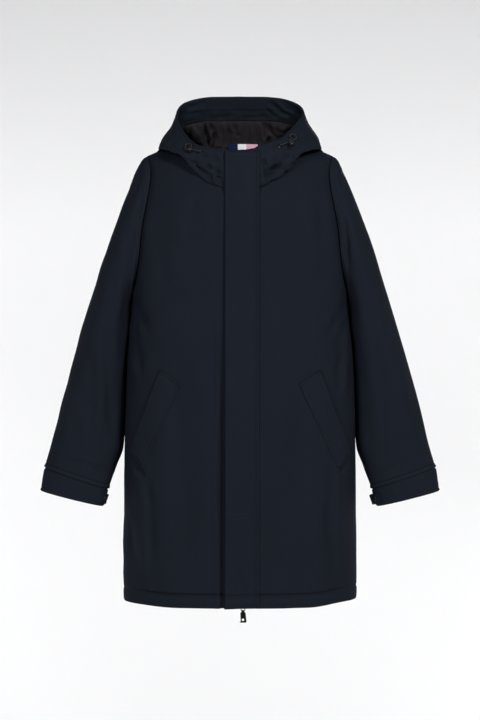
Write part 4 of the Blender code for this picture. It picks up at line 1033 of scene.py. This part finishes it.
def backHeight(points):
    return panelHeight(points, backFolds, 0.0013, 0.52, 0.030)


def panelForm(facing, side, edgeX=0.0):
    low = hemZ + hemRows
    middle = np.arange(low[-1] + 0.004, underarmZ - 0.003, panelGrid["lowStep"])
    angles = np.radians(np.linspace(0, 90, panelGrid["armRows"]))
    arm = armFullZ - (armFullZ - underarmZ) * np.cos(angles)
    shares = np.linspace(0, 1, panelGrid["columns"] + 1)
    rolls = np.linspace(90, 0, panelGrid["rolls"])
    form = halfPanel(facing, side, shares, [*low, *middle, *arm], rolls, edgeX)
    return form, len(low) + len(middle)


def easeEdges(points, sides):
    # How far the folds may work beside an edge that is sewn to a neighbour
    far = fromEdges(points)
    free = 1.0
    for side in sides:
        free = free * (0.12 + 0.88 * ease(far[side] / 0.014))
    return free


def bodyOut(points):
    return points * (1, 1, 0) - (0, sideY, 0)


def hemLift(points):
    # The hem rides up a little at its sides, more on the left
    x = points[..., 0]
    share = ease((np.abs(x) - 0.13) / 0.085) * ease((hemZ + 0.10 - points[..., 2]) / 0.06)
    return share * np.where(x > 0, 0.0070, 0.0030)


def dressPanel(node, form, height, apart, sides, hemEdge):
    points = form + normalsOf(form, bodyOut(form)) * height[..., None] + (0, apart, 0)
    points[..., 2] += hemLift(points)
    out = normalsOf(points, bodyOut(points))
    seam = nearEdge(points, sides)
    hem = np.exp(-np.abs(points[..., 2] - hemZ - hemSewn) / 0.006)
    seam[..., 0] = np.maximum(seam[..., 0], hem * hemEdge)
    obj = clothGrid(node + "_cloth", points, out, shellCloth, shellWall, seam)
    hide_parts(node)
    sewRow("body", points, out, points[:, 20, 2], hemZ + hemSewn)
    return obj


def makeFronts():
    rings = {}
    for side, name in ((-1, "front_right"), (1, "front_left")):
        edgeX = 0.0 if side < 0 else zipX + zipClear
        form, lowCount = panelForm(atFront, side, edgeX)
        rings[side] = form[lowCount:, -1].copy()
        height = frontHeight(form) * easeEdges(form, ("end", "top"))
        # Both edges of the armhole sink into its seam
        height -= 0.0030 * bell(fromEdges(form)["end"], 0.0090)
        obj = dressPanel(name, form, height, -seamGap / 2, ("end", "top", "low"), 0.9)
        fronts.append(obj)
    return rings


def makeBack():
    rings = {}
    halves = []
    for side in (-1, 1):
        form, lowCount = panelForm(atBack, side)
        rings[side] = form[lowCount:, -1].copy()
        halves.append(form)
    form = np.concatenate([halves[0][:, ::-1], halves[1][:, 1:]], axis=1)
    height = backHeight(form) * easeEdges(form, ("start", "end", "top"))
    obj = dressPanel("back", form, height, seamGap / 2, ("start", "end", "top", "low"), 0.0)
    return rings


fronts = []
frontRings = makeFronts()
backRings = makeBack()
print("body done")


# Sleeves, cuffs and their straps

# Folds of the sleeves, as lines seen from the front, on their front and on their back
sleeveFolds = thousandths(
    foldColumns,
    (-291, -400, -286, -600, 6, 11, -3.5), (-256, -330, -250, -560, 5, 9, -3.2),
    (-184, -60, -200, -190, 3, 6, -3.9), (-196, -30, -206, -76, 2, 5, -2.4),
    (-264, -630, -330, -604, 4, 7, -1.9), (-322, -420, -350, -570, 4, 12, 2.6),
    (-232, -180, -262, -400, 6, 14, -2.2), (-214, -250, -232, -400, 4, 8, -2.6),
    (205, -120, 212, -230, 3, 7, -4.3), (196, -24, 203, -70, 2, 4, -2.8),
    (204, -22, 212, -60, 2, 4, -2.4), (188, -40, 196, -110, 2, 4.5, -2.6),
    (252, -210, 294, -520, 8, 15, -2.8), (220, -290, 231, -540, 4, 9, -3),
    (312, -380, 344, -560, 4, 13, 2.4), (264, -640, 320, -616, -4, 7, -1.7),
    (274, -420, 280, -600, -5, 10, -2.4))
sleeveBackFolds = thousandths(
    foldColumns,
    (-196, -40, -206, -160, 3, 7, -4.2), (-300, -330, -244, -390, 6, 11, -5.2),
    (-318, -400, -250, -450, 6, 10, -4.7), (-240, -150, -284, -360, 8, 16, -3.4),
    (-310, -470, -350, -590, 6, 11, -3.1), (-262, -500, -290, -620, 5, 9, -3.4),
    (196, -42, 207, -166, 3, 7, -4.2), (302, -340, 244, -396, -6, 11, -5.2),
    (322, -420, 252, -460, -6, 10, -4.4), (238, -160, 286, -370, -8, 16, -3.4),
    (312, -480, 352, -600, -6, 11, -3.1), (262, -510, 288, -626, -5, 9, -3.4))
sleeveSteps = 150
# The sleeve's head is full beside its seam, and its end sinks into the cuff's
sleeveEnds = {"full": 0.0022, "fullAt": 0.012, "fullWide": 0.010, "sink": 0.0016,
              "ripple": 0.0004}
sleeveLean = {"high": 0.0056, "wide": 0.012}
cuffShape = {"rows": 34, "line": 0.0092, "hem": 0.0060, "edge": 0.0012}
strapShape = {"along": 46, "across": 14, "apart": 0.0002, "puff": 0.0004, "edge": 0.0005}


def sleeveHeight(points):
    ahead = ease((0.012 - points[..., 1]) / 0.024)
    height = folds(points, sleeveFolds) * ahead
    height += folds(points, sleeveBackFolds) * (1 - ahead)
    inner = np.interp(-points[..., 2], -column(sleeveRows, "inner_z"),
                      column(sleeveRows, "inner_x"))
    band = ease((-0.29 - points[..., 2]) / 0.05) * ease((points[..., 2] + 0.615) / 0.04)
    lean = sleeveLean["high"] * bell(np.abs(points[..., 0]) - inner, sleeveLean["wide"])
    return height + lean * band + swell(points, 0.0012, 0.9)


def makeSleeve(side, name):
    ring = armholeRing(frontRings[side], backRings[side])
    form = sleevePoints(ring, np.linspace(0, cuffT + 0.005, sleeveSteps), side)
    n = -ringInward(form)
    down = arcs(form, 0)
    fade = ease(down / 0.020) * (0.25 + 0.75 * ease((down[-1:] - down) / 0.025))
    height = sleeveHeight(form) * fade
    full = sleeveEnds["full"] * bell(down - sleeveEnds["fullAt"], sleeveEnds["fullWide"])
    height += full * ease(down / 0.006)
    height -= sleeveEnds["sink"] * ease(1 - (down[-1:] - down) / 0.004)
    ripple = np.sin(np.arange(form.shape[1]) * 0.9) * np.exp(-down / 0.016)
    height += sleeveEnds["ripple"] * ripple * ease(down / 0.004)
    points = form + n * height[..., None]
    points[:2] -= np.array([side * 0.0008, 0, 0])
    points[:, -1] = points[:, 0]
    out = -ringInward(points)
    obj = clothGrid("sleeve_" + name + "_cloth", points, out, shellCloth, shellWall,
                    nearEdge(points, ("low", "top")), closed=True)
    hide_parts("sleeve_" + name)
    makeCuff(ring, side, name)


def makeCuff(ring, side, name):
    form = cuffPoints(ring, np.linspace(0, 1, cuffShape["rows"]), side)
    n = -ringInward(form)
    down = arcs(form, 0)
    up = down[-1:] - down
    height = 0.0014 * bell(down - cuffShape["line"] / 1.5, 0.0018)
    height -= 0.0028 * bell(down - cuffShape["line"], 0.0015) + 0.0008 * bell(down, 0.0014)
    height += 0.0006 * np.sin(math.pi * np.clip(up / cuffShape["hem"], 0, 1))
    height -= 0.0008 * bell(up - cuffShape["hem"], 0.0012) + 0.0014 * bell(up, 0.0016)
    height += swell(form, 0.0009, 1.7, 0.08) * ease(down / 0.01) * ease(up / 0.008)
    points = form + n * height[..., None]
    points[:, -1] = points[:, 0]
    out = -ringInward(points)
    obj = clothGrid("cuff_" + name + "_cloth", points, out, shellCloth, shellWall + cuffProud,
                    nearEdge(points, ("low", "top")), closed=True)
    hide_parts("cuff_" + name)
    for wanted in (cuffShape["line"], down[-1, 10] - cuffShape["hem"], cuffShape["edge"]):
        sewRow("cuff_" + name, points, out, down[:, 10], wanted)


def makeStrap(side, name, stand):
    angles = np.linspace(tabBack, tabFront, strapShape["along"])
    rows = np.linspace(tabLow, tabHigh, strapShape["across"])
    base, lift = cuffSurface(angles, rows, side)
    bow = stand * bell(angles + 0.05, 0.22)[None, :, None]
    points = base + lift * (cuffProud + seamGap + strapShape["apart"] + tabWall + bow)
    edge = leastEdge(points)
    height = strapShape["puff"] * np.sin(math.pi * np.clip(edge / 0.003, 0, 1))
    height -= strapShape["edge"] * np.exp(-edge / 0.0006)
    points = points + lift * height[..., None]
    obj = clothGrid("cuff_strap_" + name, points, lift, shellCloth, tabWall,
                    nearEdge(points))
    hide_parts("cuff_tab_" + name)
    for row in (2, -3):
        sew("cuff_" + name, points[row], lift[row])
    sew("cuff_" + name, points[:, -3], lift[:, -3])


for side, name, stand in ((-1, "right", 0.0010), (1, "left", 0.0050)):
    makeSleeve(side, name)
    makeStrap(side, name, stand)
print("sleeves done")


# What lies on the fronts


def treeOf(obj):
    mesh = obj.data
    corners = [vert.co for vert in mesh.vertices]
    return BVHTree.FromPolygons(corners, [tuple(face.vertices) for face in mesh.polygons])


def frontSkin(x, z, trees):
    z = max(z, hemZ + seamGap)
    for beside in (0, 2 * seamGap, -2 * seamGap, 6 * seamGap):
        start = Vector((x, -1.0, z + beside))
        hits = [tree.ray_cast(start, Vector((0, 1, 0))) for tree in trees]
        found = [hit for hit in hits if hit[0] is not None and hit[0].y < 0]
        if found:
            near = min(found, key=lambda hit: hit[3])
            return np.array(near[0]), np.array(near[1])
    return None, None


def softSkin(x, z, trees, reach=0.006):
    steps = (-reach, 0, reach)
    around = [frontSkin(x + a, z + b, trees)[1] for a in steps for b in steps]
    around = [normal for normal in around if normal is not None]
    return frontSkin(x, z, trees)[0], unit(np.mean(around, axis=0))


# The flap's grid, its stitched lines, how far its free edge stands out, and its edges
placket = {"columns": 34, "step": 0.0042, "stitchX": 0.0306, "crossStitch": -0.696,
           "topStitch": 0.006, "flare": 0.0080, "stand": 0.0014, "edgeDrop": 0.0026,
           "edgeSoft": 0.0013, "piping": 0.0007, "pipingWide": 0.007, "groove": 0.0030}
placketFolds = thousandths(
    foldColumns,
    (13, -10, 29, -70, 2, 3.6, -1.2), (0, -24, 20, -90, 3, 5, 0.8),
    (-8, -780, 30, -850, 4, 8, 1.4), (-20, -700, 26, -740, 3, 7, 0.9),
    (-20, -820, 10, -868, 3, 7, -1), (-18, -500, 24, -536, -3, 9, -0.7),
    (-18, -330, 24, -300, 3, 9, 0.7), (-18, -200, 24, -240, 3, 8, -0.6))


def skinGrid(xs, zs, trees, overZip):
    grid = np.zeros((len(zs), len(xs), 3))
    for row, z in enumerate(zs):
        for spot, x in enumerate(xs):
            seenX = -seamGap if abs(x - zipX) < overZip else x
            grid[row, spot] = frontSkin(seenX, z - 0.0001, trees)[0]
            grid[row, spot, 0] = x
            grid[row, spot, 2] = z
    return grid


def forward(grid):
    return np.broadcast_to(np.array([0, -1.0, 0]), grid.shape)


def makePlacket(trees):
    xs = np.concatenate([placketFreeX + np.array([0, 0.0006, 0.0014]),
                         np.linspace(placketFreeX + 0.003, placketSewnX - 0.003,
                                     placket["columns"]),
                         placketSewnX - np.array([0.0014, 0.0006, 0])])
    zs = np.concatenate([hemZ + hemRows[:-1], np.arange(hemZ + 0.040, placketTopZ - 0.008,
                                                        placket["step"]),
                         placketTopZ - np.array([0.0066, 0.0050, 0.0034, 0.0020, 0.0010, 0.0])])
    grid = skinGrid(xs, zs, trees, zipClear + 0.0004)
    y = grid[..., 1]
    for _ in range(40):
        soft = y.copy()
        soft[1:-1] = (y[:-2] + 2 * y[1:-1] + y[2:]) / 4
        soft[:, 1:-1] = (soft[:, :-2] + 2 * soft[:, 1:-1] + soft[:, 2:]) / 4
        y = np.minimum(soft, grid[..., 1] + 0.0002)
    stand = placket["stand"] * ease((zs[:, None] + 0.090) / 0.020)
    grid[..., 1] = y - 2 * seamGap - shellWall - stand
    share = np.clip((placketSewnX - xs) / (placketSewnX - placketFreeX), 0, 1)[None, :]
    drop = np.clip(-zs / 0.88, 0, 1)[:, None]
    flare = placket["flare"] * drop ** 0.8 * share ** 3
    edge = np.minimum(xs - placketFreeX, placketSewnX - xs)[None, :]
    near = np.minimum(edge, np.minimum(placketTopZ - zs, zs - hemZ)[:, None])
    height = flare - placket["edgeDrop"] * np.exp(-near / placket["edgeSoft"])
    piping = np.sin(math.pi * np.clip(edge / placket["pipingWide"], 0, 1))
    groove = bell(xs - placket["stitchX"], 0.0017)[None, :]
    height = height + placket["piping"] * piping - placket["groove"] * groove
    for z, deep, wide in ((placket["crossStitch"], 0.0006, 0.0014),
                          (placketTopZ - placket["topStitch"], 0.0007, 0.0012)):
        height = height - deep * bell(zs - z, wide)[:, None]
    height += hemShape(zs)[:, None] * 0.6
    height += folds(grid, placketFolds) + swell(grid, 0.0006, 2.1, 0.11)
    grid[..., 1] -= height
    out = normalsOf(grid, forward(grid))
    seam = nearEdge(grid)
    seam[..., 0] = np.maximum(seam[..., 0], groove)
    obj = clothGrid("placket_cloth", grid, out, shellCloth, shellWall, seam)
    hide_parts("placket")
    columns = (grid.swapaxes(0, 1), out.swapaxes(0, 1), xs)
    sewRow("placket", *columns, placket["stitchX"])
    for wanted in (placket["crossStitch"], placketTopZ - placket["topStitch"], hemZ + hemSewn):
        sewRow("placket", grid[:, 2:-2], out[:, 2:-2], zs, wanted)
    sewRow("placket", *columns, placketFreeX + 0.003)


welt = {"along": 64, "across": 18, "inset": 0.0055, "puff": 0.0022, "opening": 0.0016,
        "groove": 0.0020, "edgeDrop": 0.0046, "soft": 0.0015}


def makeWelts():
    corners = {key: np.array(spot) for key, spot in pocketCorners.items()}
    for side, name in ((-1, "right"), (1, "left")):
        b = np.linspace(0, 1, welt["along"])[:, None, None]
        a = np.linspace(0, 1, welt["across"])[None, :, None]
        outer = corners["outer_bottom"] * (1 - b) + corners["outer_top"] * b
        inner = corners["inner_bottom"] * (1 - b) + corners["inner_top"] * b
        flat = inner * (1 - a) + outer * a
        half = smooth(torsoRows, "half", flat[..., 1])
        form = torso(flat[..., 0] / half, flat[..., 1], atFront)
        form[..., 0] *= side
        n = normalsOf(form, bodyOut(form))
        toOpening = fromEdges(form)["end"]
        edge = leastEdge(form)
        height = frontHeight(form) + 2 * seamGap + weltWall
        height += welt["opening"] * ease(1 - toOpening / 0.016)
        height += welt["puff"] * np.sin(math.pi * np.clip(edge / welt["inset"], 0, 1)) ** 0.8
        height -= welt["groove"] * bell(edge - welt["inset"], welt["soft"])
        height -= welt["edgeDrop"] * np.exp(-edge / welt["soft"])
        points = form + n * height[..., None]
        out = normalsOf(points, bodyOut(points))
        obj = clothGrid("pocket_welt_" + name + "_cloth", points, out, shellCloth, weltWall,
                        nearEdge(points))
        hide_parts("pocket_welt_" + name)
        for place in (rowAt(toOpening[20], welt["inset"]), 2):
            sew("pocket_" + name, points[2:-2, place], out[2:-2, place])
        for row in (2, -3):
            sew("pocket_" + name, points[row, 2:-2], out[row, 2:-2])


shellTrees = [treeOf(obj) for obj in fronts + hoods]
makePlacket(shellTrees)
makeWelts()
print("placket and pockets done")


# The zip: two tapes, a toothed chain, two sliders and the pull tab

zipGrid = {"step": 0.008, "across": 14, "behind": 0.0014}
teeth = {"pitch": 0.0030, "first": 0.001, "past": 0.0008, "wide": 0.0052, "thick": 0.0017}


def makeZip(trees):
    zs = np.arange(chainEndZ, chainTopZ, zipGrid["step"])
    behind = skinGrid([-0.007, -seamGap, 2 * zipX + seamGap, 0.018], zs, trees, 0.0)
    line = np.zeros((len(zs), 3))
    line[:, 0] = zipX
    line[:, 1] = behind[..., 1].max(axis=1) + shellWall + 2 * seamGap + zipGrid["behind"]
    line[:, 2] = zs
    y = line[:, 1]
    for _ in range(6):
        y[1:-1] = np.maximum((y[:-2] + 2 * y[1:-1] + y[2:]) / 4, y[1:-1])
    offsets = np.linspace(-tapeHalf, tapeHalf, zipGrid["across"])
    grid = np.repeat(line[:, None], len(offsets), axis=1)
    grid[..., 0] += offsets
    obj = clothGrid("zip_tape", grid, forward(grid), tapeCloth, tapeWall,
                    nearEdge(grid, ("start", "end")))
    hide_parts("zip")
    length = arcs(line, 0)
    lines = []
    for k, at in enumerate(np.arange(teeth["first"], length[-1], teeth["pitch"] / 2)):
        spot = alongLine(line, length, at) - (0, teeth["thick"] / 2, 0)
        side = 1 if k % 2 else -1
        ends = (-side * teeth["past"], side * teeth["wide"] / 2)
        lines.append([spot + (x, 0, 0) for x in ends])
    addCurve("zip_teeth", lines, teeth["thick"] / 2, blackPlastic, 1, caps=True)


def dressNode(node, material, bevel):
    # A solid whose shape is right keeps it, with softened edges and a better material
    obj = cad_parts[node]
    obj.data.materials.clear()
    obj.data.materials.append(material)
    soft = obj.modifiers.new("Soft edges", "BEVEL")
    soft.width = bevel
    soft.segments = 3
    soft.limit_method = "ANGLE"
    soft.angle_limit = math.radians(35)


makeZip(shellTrees)
for node in ("zip_slider", "zip_slider_top"):
    dressNode(node, gunMetal, 0.0003)
dressNode("zip_pull", pullMetal, 0.00025)


# Neck loop, drawcord ends, locks, eyelets and snaps


def makeHangerLoop():
    xs = np.linspace(loopRightX, loopLeftX, 60)
    zs = np.linspace(loopLowZ, loopHighZ, 14)[:, None]
    share = (xs - xs[0]) / (xs[-1] - xs[0])
    seat = loopSeatY - (xs / neckRound) ** 2 - loopBow * np.sin(math.pi * share) ** 0.6
    edge = np.minimum(zs - zs[0], zs[-1] - zs)
    uneven = loopUneven * (np.exp(-edge / 0.0006) + np.sin(share * 9))
    grid = np.stack(np.broadcast_arrays(xs, seat - loopWall + uneven, zs), axis=-1)
    obj = clothGrid("hanger_loop_ribbon", grid, forward(grid), ribbonCloth, loopWall)
    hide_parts("hanger_loop")


def fineRoute(points, steps=4):
    table = [("t", "x", "y", "z")] + [(float(k), *p) for k, p in enumerate(points)]
    last = len(points) - 1
    at = np.linspace(0, last, last * steps + 1)
    return spots(table, "xyz", at)


def spun(name, profile, material, segments=48):
    # A turned piece about its own Z from a profile of radii and heights
    bm = bmesh.new()
    verts = [bm.verts.new((r, 0, h)) for r, h in profile]
    for a, b in zip(verts, verts[1:]):
        bm.edges.new((a, b))
    bmesh.ops.spin(bm, geom=bm.verts[:] + bm.edges[:], cent=(0, 0, 0), axis=(0, 0, 1),
                   angle=math.tau, steps=segments, use_merge=True)
    bmesh.ops.remove_doubles(bm, verts=bm.verts[:], dist=1e-7)
    bmesh.ops.recalc_face_normals(bm, faces=bm.faces[:])
    mesh = bpy.data.meshes.new(name)
    bm.to_mesh(mesh)
    bm.free()
    mesh.shade_smooth()
    mesh.set_sharp_from_angle(angle=math.radians(40))
    return addObject(name, mesh, material)


def setDown(obj, point, out):
    # Moves the mesh itself, so that the object stays at the origin
    turn = Vector(out).to_track_quat("Z", "Y").to_matrix().to_4x4()
    obj.data.transform(Matrix.Translation(Vector(point)) @ turn)
    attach(obj, "coat")


lockProfile = ((0.0, 0.50), (0.40, 0.50), (0.60, 0.49), (0.66, 0.46), (0.68, 0.42), (0.68, 0.30),
               (0.74, 0.285), (0.90, 0.28), (0.97, 0.26), (1.0, 0.21), (1.0, 0.02), (0.95, 0.0),
               (0.95, -0.05), (1.0, -0.07), (1.0, -0.38), (0.97, -0.44), (0.90, -0.48),
               (0.80, -0.50), (0.0, -0.50))
snapProfile = ((0.0, 0.46), (0.20, 0.45), (0.34, 0.40), (0.42, 0.28), (0.50, 0.26), (0.62, 0.32),
               (0.80, 0.34), (0.92, 0.22), (1.0, 0.0), (0.98, -0.30), (0.90, -0.5), (0.0, -0.5))


def makeDrawcord(table, name, upright, trees):
    found = [softSkin(x, z, trees) for x, z, _ in table[1:]]
    heights = column(table, "proud")
    points = np.array([spot + out * h for (spot, out), h in zip(found, heights)])
    route = fineRoute(points)
    cord = addCurve("drawcord_" + name + "_braid", [route], cordThick / 2, cordCloth, 4, caps=True)
    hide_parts("drawcord_" + name)
    long = float(arcs(route, 0)[-1])

    spot, out = found[0]
    ring = [(eyeletRing + eyeletWire * math.cos(t), eyeletWire * 0.8 * math.sin(t))
            for t in np.linspace(0, math.tau, 17)]
    eyelet = spun("eyelet_" + name + "_ring", ring, gunMetal)
    setDown(eyelet, spot + out * eyeletWire * 0.9, out)
    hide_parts("eyelet_" + name)
    # A near-black disc just over the hood inside the ring: painted shade for the dark inside of
    # the eyelet's hole
    shade_disc = spun("eyelet_" + name + "_mouth", ((0.0, 0.0), (eyeletRing, 0.0)), eyeletHoleShade)
    setDown(shade_disc, spot + out * 0.0007, out)

    through = unit(points[lockPoint + 1] - points[lockPoint - 1])
    out = found[lockPoint][1]
    up = unit(np.cross(through, out))
    up = up if up[2] > 0 else -up
    axis = up if upright else unit(out - through * (out @ through))
    stand = lockLong / 2 + lockAbove - heights[lockPoint]
    centre = points[lockPoint] + axis * (-lockDown if upright else stand)
    lock = spun("cord_lock_" + name + "_barrel",
                [(r * lockRadius, h * lockLong) for r, h in lockProfile], blackPlastic)
    setDown(lock, centre, axis)
    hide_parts("cord_lock_" + name)
    cap = spun("cord_lock_" + name + "_button",
               [(lockRadius * 0.56, lockLong * 0.501), (lockRadius * 0.5, lockLong * 0.53),
                (lockRadius * 0.3, lockLong * 0.545), (0.0, lockLong * 0.55)], gunMetal)
    setDown(cap, centre, axis)
    return cord, points, long


def makeSnap(side, name):
    spot, out = cuffSurface([snapAngle, snapAngle + 0.02], [0.62, 0.68], side)
    height = cuffProud + 3 * seamGap + strapShape["apart"] + tabWall + snapTall / 2
    snap = spun("cuff_snap_" + name + "_cap",
                [(r * snapRadius, h * snapTall) for r, h in snapProfile], snapMetal)
    setDown(snap, spot[0, 0] + out[0, 0] * height, out[0, 0])
    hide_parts("cuff_snap_" + name)


# Near-black colour of the eyelet's disc: painted shade standing in for the inside of the hole
eyeletHoleShade = hardMaterial("eyelet_hole_shade", (0.0015, 0.0015, 0.0018), 0.9, 0.0)
makeHangerLoop()
for table, name, upright in ((cordRight, "right", False), (cordLeft, "left", True)):
    cord, points, long = makeDrawcord(table, name, upright, shellTrees)
for side, name in ((-1, "right"), (1, "left")):
    makeSnap(side, name)
for group in seams:
    makeThread(group)
print("trims done")


# Pale ground and soft light

stageShape = {"floorZ": -2.1, "wallY": 4.6, "bend": 2.4, "half": 7.0, "near": -7.0, "high": 6.0}


def makeStage():
    bend, floorZ, wallY = stageShape["bend"], stageShape["floorZ"], stageShape["wallY"]
    arc = [(wallY - bend * (1 - math.sin(a)), floorZ + bend * (1 - math.cos(a)))
           for a in np.radians(np.linspace(0, 90, 24))]
    profile = [(stageShape["near"], floorZ), *arc, (wallY, stageShape["high"])]
    bm = bmesh.new()
    bmesh.ops.create_grid(bm, x_segments=1, y_segments=len(profile) - 1, size=1)
    for k, vert in enumerate(bm.verts):
        y, z = profile[k // 2]
        vert.co = ((2 * (k % 2) - 1) * stageShape["half"], y, z)
    bmesh.ops.recalc_face_normals(bm, faces=bm.faces[:])
    mesh = bpy.data.meshes.new("ground")
    bm.to_mesh(mesh)
    bm.free()
    mesh.shade_smooth()
    material, shader, _ = startMaterial("ground")
    link((0.86, 0.86, 0.865, 1.0), shader["Base Color"])
    link(0.9, shader["Roughness"])
    addObject("ground", mesh, material)


lights = (
    # name, place, aims at, width, power
    ("key", (1.9, -3.1, 1.3), (0, 0, -0.35), 1.0, 98.0),
    ("fill", (-1.7, -3.4, 0.3), (0, 0, -0.40), 1.6, 62.0),
    ("top", (0.0, 0.4, 2.4), (0, 0, -0.2), 1.6, 4.0),
    ("wallLeft", (-2.8, 1.6, -0.9), (0.5, 4.4, -0.9), 2.2, 74.0),
    ("wallRight", (2.8, 1.6, -0.9), (-0.5, 4.4, -0.9), 2.2, 74.0),
    ("behind", (0.6, 3.6, 1.0), (0, 0, -0.35), 1.6, 26.0),
)


def makeLights():
    for name, spot, aim, wide, power in lights:
        data = bpy.data.lights.new(name, "AREA")
        data.shape = "SQUARE"
        data.size = wide
        data.energy = power
        obj = addObject(name, data)
        obj.location = spot
        obj.visible_camera = False
        obj.rotation_euler = (Vector(aim) - Vector(spot)).to_track_quat("-Z", "Y").to_euler()
    world = bpy.data.worlds.new("studio")
    world.use_nodes = True
    sky = world.node_tree.nodes["Background"].inputs
    link((0.95, 0.96, 1.0, 1.0), sky["Color"])
    link(0.11, sky["Strength"])
    bpy.context.scene.world = world
    bpy.context.scene.view_settings.view_transform = "Standard"


makeStage()
makeLights()
